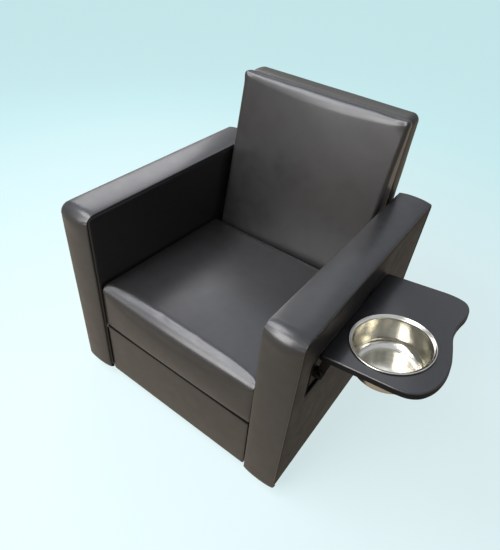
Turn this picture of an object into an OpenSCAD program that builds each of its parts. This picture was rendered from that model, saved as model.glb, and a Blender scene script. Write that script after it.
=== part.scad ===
// Pedicure spa chair: a boxy upholstered armchair with a reclining back, a leg rest that rises
// with it, and a fold-down side tray that carries a lift-out steel bowl.
// Millimetres, +Z up, front towards -Y. Left and right are as seen from the front.
// Inside the modules x = 0 is the seat's middle, y = 0 the arms' front face, z = 0 the floor.

/* [Arms] */
// Clear width between the two arms
seat_w = 560; // [480:5:640]
// Width of one arm
arm_w = 102; // [92:1:130]
// Depth of the arms, front face to rear face
arm_d = 750; // [745:1:800]
// Height of an arm's upholstered body, without its feet
arm_h = 610; // [580:5:660]
// Radius of an arm's front and rear top corners
arm_corner_r = 36; // [26:1:50]
// Radius of the long edges of an arm's padded band
band_edge_r = 8; // [4:0.5:12]
// Thickness of the padded band over front, top and rear
band_t = 8; // [6:0.5:14]
// Rise of the band's top in the middle
band_crown = 4; // [1:0.5:6]
// Thickness of an arm's flat upholstered side panels
side_panel_t = 14; // [10:1:18]
// Width of the posts in an arm's timber frame
arm_post_w = 40; // [30:1:48]
// Height of the rails in an arm's timber frame
arm_rail_h = 40; // [30:1:50]

/* [Feet] */
// Height of the plastic feet
foot_h = 25; // [15:1:40]
// Radius of a foot at its top
foot_r = 23; // [16:0.5:30]
// Distance from an arm's front or rear face to the middle of a foot
foot_inset = 38; // [34:1:70]
// Shank radius of a foot's screw
foot_screw_r = 2.5; // [2:0.1:3.5]
// Length of a foot's screw above the foot
foot_screw_l = 28; // [15:1:35]

/* [Seat] */
// Height of the seat board's top above the floor
seat_deck_z = 240; // [225:1:260]
// Thickness of the plywood seat board
seat_board_t = 12; // [9:1:18]
// Thickness of the seat cushion at its front edge
cushion_front_h = 154; // [120:1:175]
// Drop of the seat cushion's top from front to rear
cushion_fall = 16; // [5:1:30]
// Rise of the seat cushion's middle above its sides
cushion_crown = 7; // [2:0.5:12]
// Radius of the seat cushion's front top roll
cushion_roll_r = 34; // [20:1:50]
// Radius of the cushions' side edges
cushion_edge_r = 16; // [8:1:25]
// Distance of the seat front behind the arms' front face
seat_setback = 12; // [8:1:30]
// Gap between the seat cushion and each arm
cushion_side_gap = 3; // [1:0.5:6]
// Width and height of the steel seat tubes
seat_tube = 30; // [20:1:34]
// Wall of the steel seat tubes
tube_wall = 2; // [1.5:0.5:4]
// Distance of the seat frame's side tubes from the arms
seat_frame_gap = 30; // [28:1:45]

/* [Back] */
// Height of the back's top above the floor
back_top_z = 872; // [820:1:920]
// Gap between the back and each arm
back_side_gap = 8.5; // [6:0.5:14]
// Height of the back's lower edge above the seat board
back_lift = 22; // [22:1:40]
// Depth of the upholstered frame behind the back cushion
back_shell_t = 62; // [50:1:70]
// Distance of the back's rear face from the arms' rear face
back_rear_inset = 15; // [5:1:25]
// Thickness of the back cushion at its top
back_pad_top_t = 25; // [18:1:40]
// Thickness of the back cushion at its lower edge
back_pad_base_t = 141; // [110:1:150]
// Rise of the back cushion's middle
back_crown = 7; // [2:0.5:12]
// How far the back cushion's sides draw in at its lower edge
back_pull_in = 8; // [0:1:14]
// Thickness of the padded boxing round the back's sides
boxing_t = 16.5; // [12:0.5:20]
// Radius of the back's top corners
back_corner_r = 24; // [18:1:40]
// Thickness of the plywood sheets and panels in the back
back_ply_t = 9; // [6:1:12]
// Height of the members of the back's timber frame
back_member = 45; // [30:1:60]

/* [Recline] */
// Height of the recline pivots below the back's lower edge
recline_drop = 12; // [12:0.5:18]
// Distance of the recline pivots from the arms' rear face
recline_from_rear = 175; // [165:1:185]
// Radius of the recline pivot bolts
recline_bolt_r = 6; // [4:0.5:7]
// Thickness of the steel levers and links
lever_t = 5; // [4:0.5:6]
// Distance of the levers from the arms
lever_gap = 20; // [18:0.5:24]
// Space between a lever and the link beside it
link_gap = 2; // [1:0.5:4]
// Half height of a link bar and radius of its eyes
link_r = 9; // [7.5:0.5:11]
// Radius of the pins at the ends of the links
link_pin_r = 4; // [3:0.5:5]
// Distance of the leg rest's link pin from its pivot
leg_lever = 25; // [22:1:30]
// Angle of the leg rest's link pin, rearwards from straight below its pivot
leg_lever_angle = 20; // [15:1:25]
// Angle of the back's link pin, rearwards from straight below its pivot
back_lever_angle = 10; // [5:1:15]
// Recline of the back at its limit
recline_max = 25; // [15:1:30]
// Lift of the leg rest at the back's limit
legrest_max = 70; // [60:1:80]
// Slack in the link's front eye, which takes up the linkage's uneven motion
link_slack = 2.5; // [2:0.5:3.5]

/* [Leg rest] */
// Height of the leg rest's pivot below the seat board's top
legrest_drop = 18; // [17:0.5:24]
// Distance of the leg rest's pivot behind its front face, and radius of its top edge
legrest_top_r = 14; // [11:0.5:16]
// Thickness of the leg rest's pad
legrest_pad_t = 22; // [18:1:26]
// Thickness of the leg rest's board
legrest_board_t = 16; // [12:1:20]
// Gap between the leg rest and each arm
legrest_side_gap = 8; // [5:0.5:12]
// Clearance of the leg rest above the level of the arms' lower edge
legrest_bottom_gap = 2; // [1:0.5:20]
// Rise of the leg rest pad's middle
legrest_crown = 3; // [1:0.5:4]
// Radius of the leg rest's pivot pins
legrest_pin_r = 5; // [3.5:0.5:6]
// Wall of the pivot bushes
bush_wall = 3; // [2:0.5:4]

/* [Tray recess] */
// How far the recess starts in front of the tray's front edge
recess_lead = 19; // [14:1:24]
// How far the recess stops short of the tray's rear edge
recess_short = 12; // [6:1:18]
// Distance from the tray's fold axis down to the recess's lower edge
recess_below = 60; // [56:1:76]
// Distance from the tray's fold axis up to the recess's upper edge
recess_above = 61; // [55:1:68]
// Depth of the recess
recess_depth = 45; // [30:1:50]
// Thickness of the recess's liner and gauge of its walls
liner_t = 2; // [1:0.5:4]
// Thickness of the plywood behind the recess
backing_t = 15; // [9:1:18]
// Depth of the wall plates' face behind the arm's face
plate_inset = 6; // [4:0.5:10]

/* [Tray brackets] */
// Thickness of the wall plates and their ears
plate_t = 3; // [2:0.5:4]
// Height of the tray's fold axis above the floor
fold_z = 451; // [444:1:458]
// Distance of the tray's fold axis outside the arm's face
fold_out = 7.5; // [6:0.5:10]
// Distance from the fold axis to the underside of the tray
fold_drop = 64; // [60:1:70]
// Radius of the ears and bosses round the fold axis
boss_r = 11; // [8:0.5:11]
// Radius of the pivot bolts
pivot_r = 4; // [3:0.5:5]
// Thickness of a bracket arm's web
web_t = 6; // [4:0.5:8]
// Thickness of the friction washers
washer_t = 2.4; // [1.5:0.1:3]
// Length of a bracket arm under the tray
bracket_l = 165; // [120:5:180]
// Width of a bracket arm's top flange
flange_w = 22; // [16:1:24]
// Distance of the front bracket from the tray's front edge
bracket_inset = 18; // [16:1:19]
// Distance of the rear bracket from the tray's rear edge
rear_bracket_inset = 37; // [30:1:50]

/* [Tray] */
// Tilt of the tray, outer edge up
tray_tilt = 8.5; // [0:0.5:10]
// Distance of the tray's front edge from the arm's front face
tray_y = 94; // [90:1:98]
// Length of the tray along the arm
tray_l = 373; // [366:1:379]
// Reach of the tray outwards from the arm
tray_reach = 253; // [235:1:270]
// Thickness of the tray board
tray_t = 18; // [12:1:22]
// Gap between the tray's inner edge and the arm
tray_gap = 1.5; // [1:0.5:3]

/* [Bowl] */
// Outside radius of the bowl's body
bowl_r = 89; // [70:1:89]
// Depth of the bowl below its rim
bowl_depth = 86; // [50:1:86]
// Radius of the bowl's lower corner
bowl_corner_r = 26; // [15:1:35]
// Thickness of the bowl's sheet
bowl_t = 1.2; // [0.8:0.1:2]
// Width of the bowl's rim beyond its body
rim_w = 7; // [5:0.5:8]
// Radius of the rim's rolled edge
rim_roll_r = 2; // [1.2:0.1:3]
// Distance of the bowl's middle from the arm's face
bowl_out = 118; // [114:1:124]
// Distance of the bowl's middle from the tray's front edge
bowl_in_y = 122; // [120:1:128]
// Clearance between the bowl and its hole in the tray
bowl_clear = 1.5; // [0.5:0.5:2]

/* [Hidden] */

// Clearances shared by several pieces
seat_gap = 0.3;
running = 0.06;
snug = 0.05;
sweep_gap = 4;

leather_colour = [0.13, 0.13, 0.14];
timber_colour = [0.72, 0.56, 0.38];
steel_colour = [0.25, 0.25, 0.27];
zinc_colour = [0.72, 0.73, 0.75];

// Arms
arm_in = seat_w / 2;
arm_out = arm_in + arm_w;
base_z = foot_h;
arm_top = base_z + arm_h;
arm_core_in = arm_in + side_panel_t;
arm_core_out = arm_out - side_panel_t;

// Seat
deck_half = arm_in - seat_frame_gap;
tube_top = seat_deck_z - seat_board_t;
tube_z = tube_top - seat_tube;
cushion_half = arm_in - cushion_side_gap;
cushion_base_z = seat_deck_z + seat_gap;
seat_top_z = seat_deck_z + cushion_front_h;

// Back
back_half = arm_in - back_side_gap;
back_core_half = back_half - boxing_t;
back_base_z = seat_deck_z + back_lift;
back_rear_y = arm_d - back_rear_inset;
shell_y = back_rear_y - back_shell_t;
pad_top_y = shell_y - back_pad_top_t;
pad_base_y = shell_y - back_pad_base_t;
pad_slope = (pad_top_y - pad_base_y) / (back_top_z - back_base_z);
back_core_top = back_top_z - boxing_t;
back_panel_t = 11;
back_frame_y = shell_y + back_ply_t;
back_panel_y = back_rear_y - 2 - back_panel_t;

// Pivots of the recline linkage, as [y, z]
recline_axis = [arm_d - recline_from_rear, back_base_z - recline_drop];
legrest_axis = [seat_setback + legrest_top_r, seat_deck_z - legrest_drop];
back_lever = leg_lever * sin(legrest_max / 2) / sin(recline_max / 2);
leg_pin = legrest_axis + leg_lever * [sin(leg_lever_angle), -cos(leg_lever_angle)];
back_pin = recline_axis + back_lever * [sin(back_lever_angle), -cos(back_lever_angle)];
link_l = norm(back_pin - leg_pin);
link_angle = atan2(leg_pin[1] - back_pin[1], back_pin[0] - leg_pin[0]);
lever_x = arm_in - lever_gap - lever_t;
link_x = lever_x + lever_t + link_gap;

// Leg rest
legrest_half = arm_in - legrest_side_gap;
legrest_board_half = lever_x;
legrest_base_z = base_z + legrest_bottom_gap;
legrest_board_y = seat_setback + legrest_pad_t;
legrest_board_top = legrest_axis[1] - 7;

// Tray: its own frame has the fold axis at the origin, x outwards along the board, z up from it
fold_x = arm_out + fold_out;
tray_inner = (tray_gap - fold_out + (fold_drop + tray_t) * sin(tray_tilt)) / cos(tray_tilt);
tray_outer = tray_inner + tray_reach;
tray_end_x = fold_x + tray_outer * cos(tray_tilt) - fold_drop * sin(tray_tilt);
front_bracket_y = tray_y + bracket_inset;
rear_bracket_y = tray_y + tray_l - rear_bracket_inset;
ear_gap = web_t / 2 + seat_gap + washer_t + seat_gap;
plate_x = arm_out - plate_inset - plate_t;
bowl_x = (bowl_out - fold_out + (fold_drop + tray_t) * sin(tray_tilt)) / cos(tray_tilt);
bowl_y = tray_y + bowl_in_y;

// Tray recess
recess_back_x = arm_out - recess_depth;
recess_y = tray_y - recess_lead;
recess_end = tray_y + tray_l - recess_short;
recess_z = fold_z - recess_below;
recess_top = fold_z + recess_above;

// ---------------------------------------------------------------- placing and extruding

// The origin of the finished model is the middle of its outline, on the floor
module placed() translate([-(tray_end_x - arm_out) / 2, -arm_d / 2, 0]) children();

// Extrudes a side view, drawn as (y, z), along x
module along_x(x0, x1) translate([x0, 0, 0]) rotate([90, 0, 90]) linear_extrude(x1 - x0) children();

// Extrudes a front view, drawn as (x, z), along y
module along_y(y0, y1) translate([0, y1, 0]) rotate([90, 0, 0]) linear_extrude(y1 - y0) children();

module left() mirror([1, 0, 0]) children();

module both_sides() {
    children();
    left() children();
}

module block(low, high) translate(low) cube(high - low);

// A rectangle whose two upper corners are round
module arch(low, high, r) {
    translate(low) square([high[0] - low[0], high[1] - low[1] - r]);
    translate(low + [r, 0]) square([high[0] - low[0] - 2 * r, high[1] - low[1]]);
    for (x = [low[0] + r, high[0] - r]) translate([x, high[1] - r]) circle(r, $fn = 64);
}

// A rectangle whose four corners are round
module round_rect(low, high, r) {
    translate(low + [r, 0]) square([high[0] - low[0] - 2 * r, high[1] - low[1]]);
    translate(low + [0, r]) square([high[0] - low[0], high[1] - low[1] - 2 * r]);
    for (x = [low[0] + r, high[0] - r], y = [low[1] + r, high[1] - r])
        translate([x, y]) circle(r, $fn = 64);
}

// A straight bar between two round eyes of radius r, drawn flat; the bar is narrower by eye_step
eye_step = 1.5;

module eye_bar(a, b, r) {
    d = b - a;
    bar = r - eye_step;
    translate(a) circle(r, $fn = 48);
    translate(b) circle(r, $fn = 48);
    translate(a) rotate(atan2(d[1], d[0])) translate([0, -bar]) square([norm(d), 2 * bar]);
}

// ---------------------------------------------------------------- soft forms

// Joins equal rings of points into one closed triangle mesh, with a middle point in each end
module loft(rings) {
    count = len(rings);
    size = len(rings[0]);
    ends = [for (ring = [rings[0], rings[count - 1]]) ring_middle(ring)];
    points = concat([for (ring = rings) each ring], ends);
    sides = [
        for (i = [0 : count - 2], j = [0 : size - 1])
            let (a = i * size + j, b = i * size + (j + 1) % size)
                each [[a, b, a + size], [b, b + size, a + size]]
    ];
    near_end = [for (j = [0 : size - 1]) [count * size, (j + 1) % size, j]];
    last = (count - 1) * size;
    far_end = [for (j = [0 : size - 1]) [count * size + 1, last + j, last + (j + 1) % size]];
    polyhedron(points, concat(sides, near_end, far_end));
}

function ring_middle(ring) = [for (axis = [0 : 2]) total([for (p = ring) p[axis]]) / len(ring)];
function total(list, i = 0) = i < len(list) ? list[i] + total(list, i + 1) : 0;

// Stations across a cushion: close together where the side edges turn
function stations(half, r) = concat(
    [for (a = [90 : -22.5 : 22.5]) -half + r - r * sin(a)],
    [for (i = [0 : 8]) (half - r) * (i / 4 - 1)],
    [for (a = [22.5 : 22.5 : 90]) half - r + r * sin(a)]
);

// How far a round side edge has turned in at x
function edge_turn(x, half, r) =
    let (over = max(0, abs(x) - half + r)) r - sqrt(max(0, r * r - over * over));

// Crown across a cushion: full in the middle, nothing at the sides
function crown_at(x, half) = 1 - pow(abs(x) / half, 2);

// ---------------------------------------------------------------- arms

// Side view of an arm, drawn in by the given inset at front, top and rear
module arm_view(inset) {
    arch([inset, base_z], [arm_d - inset, arm_top - inset], arm_corner_r - inset);
}

// Inner and outer timber openings of an arm's frame
module arm_frame_gap(z0, z1) {
    translate([band_t + arm_post_w, z0])
        square([arm_d - 2 * (band_t + arm_post_w), z1 - z0]);
}

module arm_frame_body() {
    along_x(arm_core_in, arm_core_out) difference() {
        arm_view(band_t);
        arm_frame_gap(base_z + arm_rail_h, tube_top - arm_rail_h);
        arm_frame_gap(tube_top, arm_top - band_t - arm_rail_h);
    }
}

module foot_screw_holes() {
    for (y = [foot_inset, arm_d - foot_inset])
        translate([arm_in + arm_w / 2, y, base_z - 1])
            cylinder(h = foot_screw_l + 2, r = foot_screw_r + snug, $fn = 32);
}

module arm_frame() {
    color(timber_colour) difference() {
        arm_frame_body();
        foot_screw_holes();
    }
}

module arm_inner_panel() {
    color(leather_colour) difference() {
        along_x(arm_in, arm_core_in) arm_view(band_t);
        translate([arm_in - 1, legrest_axis[0], legrest_axis[1]]) rotate([0, 90, 0])
            cylinder(h = side_panel_t + 2, r = legrest_pin_r + bush_wall + snug, $fn = 48);
    }
}

module arm_outer_panel() along_x(arm_core_out, arm_out) arm_view(band_t);

// Top of the band, crowned across the arm
module band_section() {
    crown_r = (arm_w * arm_w / 4 + band_crown * band_crown) / (2 * band_crown);
    intersection() {
        arch([arm_in, base_z], [arm_out, arm_top], band_edge_r);
        translate([arm_in + arm_w / 2, arm_top - crown_r]) circle(crown_r, $fn = 256);
    }
}

module arm_band() {
    color(leather_colour) intersection() {
        along_x(arm_in, arm_out) difference() {
            arm_view(0);
            translate([0, -1]) arm_view(band_t);
            arm_view(band_t);
        }
        along_y(0, arm_d) {
            band_section();
            translate([arm_in, base_z]) square([arm_w, arm_h - 2 * arm_corner_r]);
        }
        translate([0, 0, base_z]) linear_extrude(arm_h)
            round_rect([arm_in, 0], [arm_out, arm_d], band_edge_r);
    }
}

module left_arm_frame() placed() left() arm_frame();
module left_arm_inner_panel() placed() left() arm_inner_panel();
module left_arm_outer_panel() placed() left() color(leather_colour) arm_outer_panel();
module left_arm_band() placed() left() arm_band();
module right_arm_frame() placed() arm_frame();
module right_arm_inner_panel() placed() arm_inner_panel();
module right_arm_band() placed() arm_band();

module right_arm_outer_panel() {
    placed() color(leather_colour) difference() {
        arm_outer_panel();
        block([arm_core_out - 1, recess_y, recess_z],
              [arm_out + 1, recess_end, recess_top]);
    }
}

// ---------------------------------------------------------------- feet and base

module feet() {
    placed() color([0.82, 0.8, 0.74]) both_sides() difference() {
        for (y = [foot_inset, arm_d - foot_inset])
            translate([arm_in + arm_w / 2, y, 0]) rotate_extrude($fn = 64) {
                square([foot_r - 3, foot_h]);
                translate([0, 3]) square([foot_r, foot_h - 3]);
                translate([foot_r - 3, 3]) circle(3, $fn = 32);
            }
        for (y = [foot_inset, arm_d - foot_inset])
            translate([arm_in + arm_w / 2, y, foot_h / 2 - 4])
                cylinder(h = foot_h, r = foot_screw_r + snug, $fn = 32);
        for (y = [foot_inset, arm_d - foot_inset])
            translate([arm_in + arm_w / 2, y, -1])
                cylinder(h = foot_h / 2 - 2, r = 2 * foot_screw_r + 1, $fn = 32);
    }
}

module foot_screws() {
    placed() color(zinc_colour) both_sides()
        for (y = [foot_inset, arm_d - foot_inset])
            translate([arm_in + arm_w / 2, y, 0]) {
                translate([0, 0, foot_h / 2 - 6]) cylinder(h = 3, r = 2 * foot_screw_r, $fn = 32);
                translate([0, 0, foot_h / 2 - 4])
                    cylinder(h = foot_h / 2 + 4 + foot_screw_l, r = foot_screw_r, $fn = 32);
            }
}

stretcher_h = 30;
stretcher_w = 24;
stretcher_lift = 5;
front_stretcher_y = 80;
rear_panel_t = 10;
rear_panel_inset = 2;
rear_panel_y = arm_d - rear_panel_inset - rear_panel_t;
rear_panel_top = recline_axis[1] - 40;
rear_rail_drop = 26;
rear_rail_h = 22;
dust_cover_t = 1.5;

module stretcher(y, z) {
    color(timber_colour) block([-arm_in, y, z], [arm_in, y + stretcher_w, z + stretcher_h]);
}

module front_stretcher() placed() stretcher(front_stretcher_y, base_z + stretcher_lift);

module rear_stretcher() {
    placed() stretcher(rear_panel_y - stretcher_w, base_z + stretcher_lift);
}

module rear_upper_rail() {
    placed() color(timber_colour)
        block([-arm_in, rear_panel_y - stretcher_w, rear_panel_top - rear_rail_drop - rear_rail_h],
              [arm_in, rear_panel_y, rear_panel_top - rear_rail_drop]);
}

module rear_panel() {
    placed() color(leather_colour)
        block([-arm_in, rear_panel_y, base_z + rear_panel_inset],
              [arm_in, rear_panel_y + rear_panel_t, rear_panel_top]);
}

module dust_cover() {
    placed() color([0.08, 0.08, 0.08])
        block([-arm_in + 2, front_stretcher_y - 8, base_z + stretcher_lift - dust_cover_t],
              [arm_in - 2, rear_panel_y, base_z + stretcher_lift]);
}

// ---------------------------------------------------------------- seat

module tube(length) {
    difference() {
        cube([length, seat_tube, seat_tube]);
        translate([-1, tube_wall, tube_wall])
            cube([length + 2, seat_tube - 2 * tube_wall, seat_tube - 2 * tube_wall]);
    }
}

seat_frame_inset = 50;
seat_frame_front = seat_setback + seat_frame_inset;
seat_frame_rear = recline_axis[0] + 45;

module seat_front_tube() {
    placed() color(steel_colour)
        translate([-deck_half, seat_frame_front, tube_z]) tube(2 * deck_half);
}

module seat_rear_tube() {
    placed() color(steel_colour)
        translate([-deck_half, seat_frame_rear - seat_tube, tube_z]) tube(2 * deck_half);
}

module side_tube() {
    color(steel_colour) translate([deck_half, seat_frame_front + seat_tube, tube_z])
        rotate([0, 0, 90]) tube(seat_frame_rear - seat_frame_front - 2 * seat_tube);
}

module seat_left_tube() placed() left() side_tube();
module seat_right_tube() placed() side_tube();

seat_bracket_h = 12;
seat_bracket_w = 40;
seat_bracket_inset = 90;

// Short steel blocks that carry the seat frame on the arms, clear above the links
module seat_brackets() {
    placed() color(steel_colour) both_sides()
        for (y = [seat_frame_front, recline_axis[0] - 2 * seat_bracket_inset])
            block([deck_half, y + seat_bracket_inset, tube_top - seat_bracket_h],
                  [arm_in, y + seat_bracket_inset + seat_bracket_w, tube_top]);
}

seat_board_front = legrest_axis[0] + legrest_top_r + 2;

module seat_board() {
    placed() color(timber_colour)
        block([-deck_half, seat_board_front, tube_top],
              [deck_half, seat_frame_rear - 12, seat_deck_z]);
}

// Face of the back cushion at height z, without its crown
function back_face_y(z) = pad_base_y + (z - back_base_z) * pad_slope;

// Side view of the seat cushion at x, from the lower rear corner round the front to the rear top
function seat_ring(x) =
    let (
        in = edge_turn(x, cushion_half, cushion_edge_r),
        rise = cushion_crown * crown_at(x, cushion_half),
        front = seat_setback + in + 3 * (1 - crown_at(x, cushion_half)),
        base = cushion_base_z,
        rear_r = 14,
        rear_gap = sweep_gap + back_crown / 2 + in / 2,
        rear_base = back_face_y(base) - rear_gap,
        top_front = seat_top_z - in,
        top_rear = top_front - cushion_fall,
        rear_top = back_face_y(top_rear - rear_r) - rear_gap,
        r = cushion_roll_r,
        low_r = 8,
        top_y0 = front + r,
        top_y1 = rear_top - rear_r
    )
    concat(
        [[x, rear_base, base]],
        [for (i = [1 : 4]) [x, rear_base + (front + low_r - rear_base) * i / 5, base]],
        [for (a = [90 : -30 : 0])
            [x, front + low_r - low_r * cos(a), base + low_r - low_r * sin(a)]],
        [for (i = [1 : 3])
            let (t = i / 4) [x, front - 3 * sin(180 * t),
                             base + low_r + (top_front - r - base - low_r) * t]],
        [for (a = [0 : 15 : 90]) [x, top_y0 - r * cos(a), top_front - r + r * sin(a)]],
        [for (i = [1 : 7])
            let (t = i / 8) [x, top_y0 + (top_y1 - top_y0) * t,
                             top_front - cushion_fall * t + rise * sin(180 * t)]],
        [for (a = [90 : -30 : 0])
            [x, top_y1 + rear_r * cos(a), top_rear - rear_r + rear_r * sin(a)]]
    );

module seat_cushion() {
    placed() color(leather_colour)
        loft([for (x = stations(cushion_half, cushion_edge_r)) seat_ring(x)]);
}

// ---------------------------------------------------------------- back

module back_frame() {
    placed() color(timber_colour) difference() {
        along_y(back_frame_y, back_panel_y) difference() {
            arch([-back_core_half, back_base_z], [back_core_half, back_core_top],
                 back_corner_r - boxing_t);
            translate([-back_core_half + back_member, back_base_z + back_member])
                square([2 * (back_core_half - back_member),
                        back_core_top - back_base_z - 2 * back_member]);
        }
        both_sides() back_lever_screw_row(snug);
    }
}

module back_board() {
    placed() color(timber_colour) along_y(shell_y, back_frame_y)
        arch([-back_core_half, back_base_z], [back_core_half, back_core_top],
             back_corner_r - boxing_t);
}

module back_rear_panel() {
    placed() color(leather_colour) along_y(back_panel_y, back_panel_y + back_panel_t)
        arch([-back_core_half, back_base_z], [back_core_half, back_core_top],
             back_corner_r - boxing_t);
}

module back_boxing() {
    edge = 9;
    placed() color(leather_colour) intersection() {
        along_y(shell_y, back_rear_y) difference() {
            arch([-back_half, back_base_z], [back_half, back_top_z], back_corner_r);
            translate([0, -1]) arch([-back_core_half, back_base_z],
                                    [back_core_half, back_core_top + 1],
                                    back_corner_r - boxing_t);
        }
        along_x(-back_half, back_half)
            round_rect([shell_y, back_base_z - 2 * edge], [back_rear_y, back_top_z], edge);
        translate([0, 0, back_base_z]) linear_extrude(back_top_z - back_base_z)
            round_rect([-back_half, shell_y], [back_half, back_rear_y], edge);
    }
}

// Side view of the back cushion at x, from the lower rear corner forwards, up and back
function back_ring(x) =
    let (
        in = edge_turn(x, back_half, cushion_edge_r),
        rise = back_crown * crown_at(x, back_half),
        base = back_base_z + seat_gap,
        top = back_top_z - 4 - in,
        r = 16,
        rear = shell_y,
        face = function(z) back_face_y(z) + in,
        draw = function(z) 1 - back_pull_in / back_half
            * (1 - (z - back_base_z) / (back_top_z - back_base_z)),
        z0 = base + 10,
        z1 = top - r
    )
    concat(
        [[x * draw(base), rear, base]],
        [for (i = [1 : 2]) [x * draw(base), rear + (face(z0) + 10 - rear) * i / 3, base]],
        [for (a = [90 : -30 : 0]) [x * draw(base), face(z0) + 10 - 10 * cos(a),
                                   base + 10 - 10 * sin(a)]],
        [for (i = [1 : 9]) let (t = i / 10, z = z0 + (z1 - z0) * t)
            [x * draw(z), face(z) - rise * sin(180 * t) + rise * sin(180 * t) * t, z]],
        [for (a = [0 : 22.5 : 90]) [x, face(z1) + r - r * cos(a), z1 + r * sin(a)]],
        [[x, rear, top - 2]],
        [for (i = [1 : 4]) let (z = top - 2 + (base - top + 2) * i / 5) [x * draw(z), rear, z]]
    );

module back_cushion() {
    placed() color(leather_colour)
        loft([for (x = stations(back_half, cushion_edge_r)) back_ring(x)]);
}

// ---------------------------------------------------------------- recline linkage

lever_flange = 4;
lever_boss_r = 12;
back_frame_mid = (back_frame_y + back_panel_y) / 2;

module pin_hole(at, r) translate(at) circle(r, $fn = 48);

// Side view of the steel lever under the back
module back_lever_view() {
    difference() {
        union() {
            eye_bar(recline_axis, back_pin, link_r + 1);
            translate(recline_axis) circle(lever_boss_r, $fn = 48);
            polygon([
                recline_axis + [0, -lever_boss_r],
                [back_panel_y, back_base_z - 24],
                [back_panel_y, back_base_z - seat_gap],
                recline_axis + [0, back_base_z - seat_gap - recline_axis[1]]
            ]);
        }
        pin_hole(recline_axis, recline_bolt_r + running);
        pin_hole(back_pin, link_pin_r + snug);
    }
}

module back_lever_body() {
    color(steel_colour) difference() {
        union() {
            along_x(lever_x, lever_x + lever_t) back_lever_view();
            block([lever_x - lever_flange_w, back_frame_y, lever_flange_z],
                  [lever_x + lever_t, back_panel_y, lever_flange_z + lever_flange]);
        }
        back_lever_screw_row(snug);
    }
}

lever_flange_w = 50;
lever_screw_r = 2.5;
lever_screw_l = 26;
lever_screw_x = [lever_x - lever_flange_w + 10, lever_x - lever_flange_w + 30];
lever_flange_z = back_base_z - seat_gap - lever_flange;

// Two screws up through each lever's flange into the back's timber frame
module back_lever_screw_row(extra) {
    for (x = lever_screw_x)
        translate([x, back_frame_mid, lever_flange_z - extra])
            cylinder(h = lever_screw_l + 2 * extra, r = lever_screw_r + extra, $fn = 32);
}

module left_back_lever() placed() left() back_lever_body();
module right_back_lever() placed() back_lever_body();

module back_lever_screws() {
    placed() color(zinc_colour) both_sides() {
        back_lever_screw_row(0);
        for (x = lever_screw_x)
            translate([x, back_frame_mid, lever_flange_z - 3])
                cylinder(h = 3, r = lever_screw_r + 2, $fn = 32);
    }
}

hinge_plate_half = 30;
hinge_plate_below = 34;
hinge_plate_above = 26;
hinge_plate_r = 8;

// Steel plates on the arms that carry the recline pivots
module recline_hinge_plates() {
    placed() color(steel_colour) both_sides()
        along_x(arm_in - lever_t, arm_in) difference() {
            round_rect(recline_axis - [hinge_plate_half, hinge_plate_below],
                       recline_axis + [hinge_plate_half, hinge_plate_above], hinge_plate_r);
            pin_hole(recline_axis, recline_bolt_r + snug);
        }
}

bolt_play = 0.5;
bolt_nut_h = 6.5;

// Each bolt has a nut inside its lever and a spacer between the lever and the hinge plate
module recline_pivot_bolts() {
    placed() color(zinc_colour) both_sides()
        translate([0, recline_axis[0], recline_axis[1]]) rotate([0, 90, 0]) {
            translate([0, 0, lever_x - bolt_play - bolt_nut_h])
                cylinder(h = arm_in - lever_x + bolt_play + bolt_nut_h, r = recline_bolt_r,
                         $fn = 48);
            translate([0, 0, lever_x - bolt_play - bolt_nut_h])
                cylinder(h = bolt_nut_h, r = recline_bolt_r + 2.5, $fn = 6);
            translate([0, 0, lever_x + lever_t + bolt_play])
                cylinder(h = arm_in - lever_x - 2 * lever_t - bolt_play, r = recline_bolt_r + 2,
                         $fn = 48);
        }
}

module rear_link_pins() placed() color(zinc_colour) both_sides() link_pin(back_pin);
module front_link_pins() placed() color(zinc_colour) both_sides() link_pin(leg_pin);

// A pin riveted into a lever, with a collar that keeps the link on it
module link_pin(at) {
    collar_t = 2;
    collar_x = link_x + lever_t + bolt_play;
    translate([0, at[0], at[1]]) rotate([0, 90, 0]) {
        translate([0, 0, lever_x])
            cylinder(h = collar_x + collar_t + bolt_play - lever_x, r = link_pin_r, $fn = 48);
        translate([0, 0, collar_x])
            cylinder(h = collar_t, r = link_pin_r + link_slack + 1, $fn = 48);
    }
}

module recline_link() {
    color(steel_colour) along_x(link_x, link_x + lever_t) difference() {
        eye_bar(back_pin, leg_pin, link_r);
        pin_hole(back_pin, link_pin_r + running);
        pin_hole(leg_pin, link_pin_r + link_slack);
    }
}

module left_recline_link() placed() left() recline_link();
module right_recline_link() placed() recline_link();

// ---------------------------------------------------------------- leg rest

module legrest_board() {
    placed() color(timber_colour)
        block([-legrest_board_half, legrest_board_y, legrest_base_z + 8],
              [legrest_board_half, legrest_board_y + legrest_board_t, legrest_board_top]);
}

pad_edge_r = 10;

// Side view of the leg rest's pad at x
function pad_ring(x) =
    let (
        in = edge_turn(x, legrest_half, pad_edge_r),
        rise = legrest_crown * crown_at(x, legrest_half),
        front = seat_setback + legrest_crown + in / 2,
        low_r = 9,
        base = legrest_base_z + in / 2,
        axis = legrest_axis,
        top_r = legrest_top_r - legrest_crown - in / 2,
        rear = legrest_board_y
    )
    concat(
        [[x, rear, base]],
        [for (a = [90 : -30 : 0]) [x, front + low_r - low_r * cos(a),
                                   base + low_r - low_r * sin(a)]],
        [for (i = [1 : 7]) let (t = i / 8)
            [x, front - rise * sin(180 * t), base + low_r + (axis[1] - base - low_r) * t]],
        [for (a = [0 : 15 : 90]) [x, axis[0] - top_r * cos(a), axis[1] + top_r * sin(a)]],
        [[x, rear, axis[1] + top_r * 0.75]],
        [for (i = [1 : 5])
            [x, rear, axis[1] + top_r * 0.75 + (base - axis[1] - top_r * 0.75) * i / 6]]
    );

pad_skin = 3.5;
pad_slot_l = 90;

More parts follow.
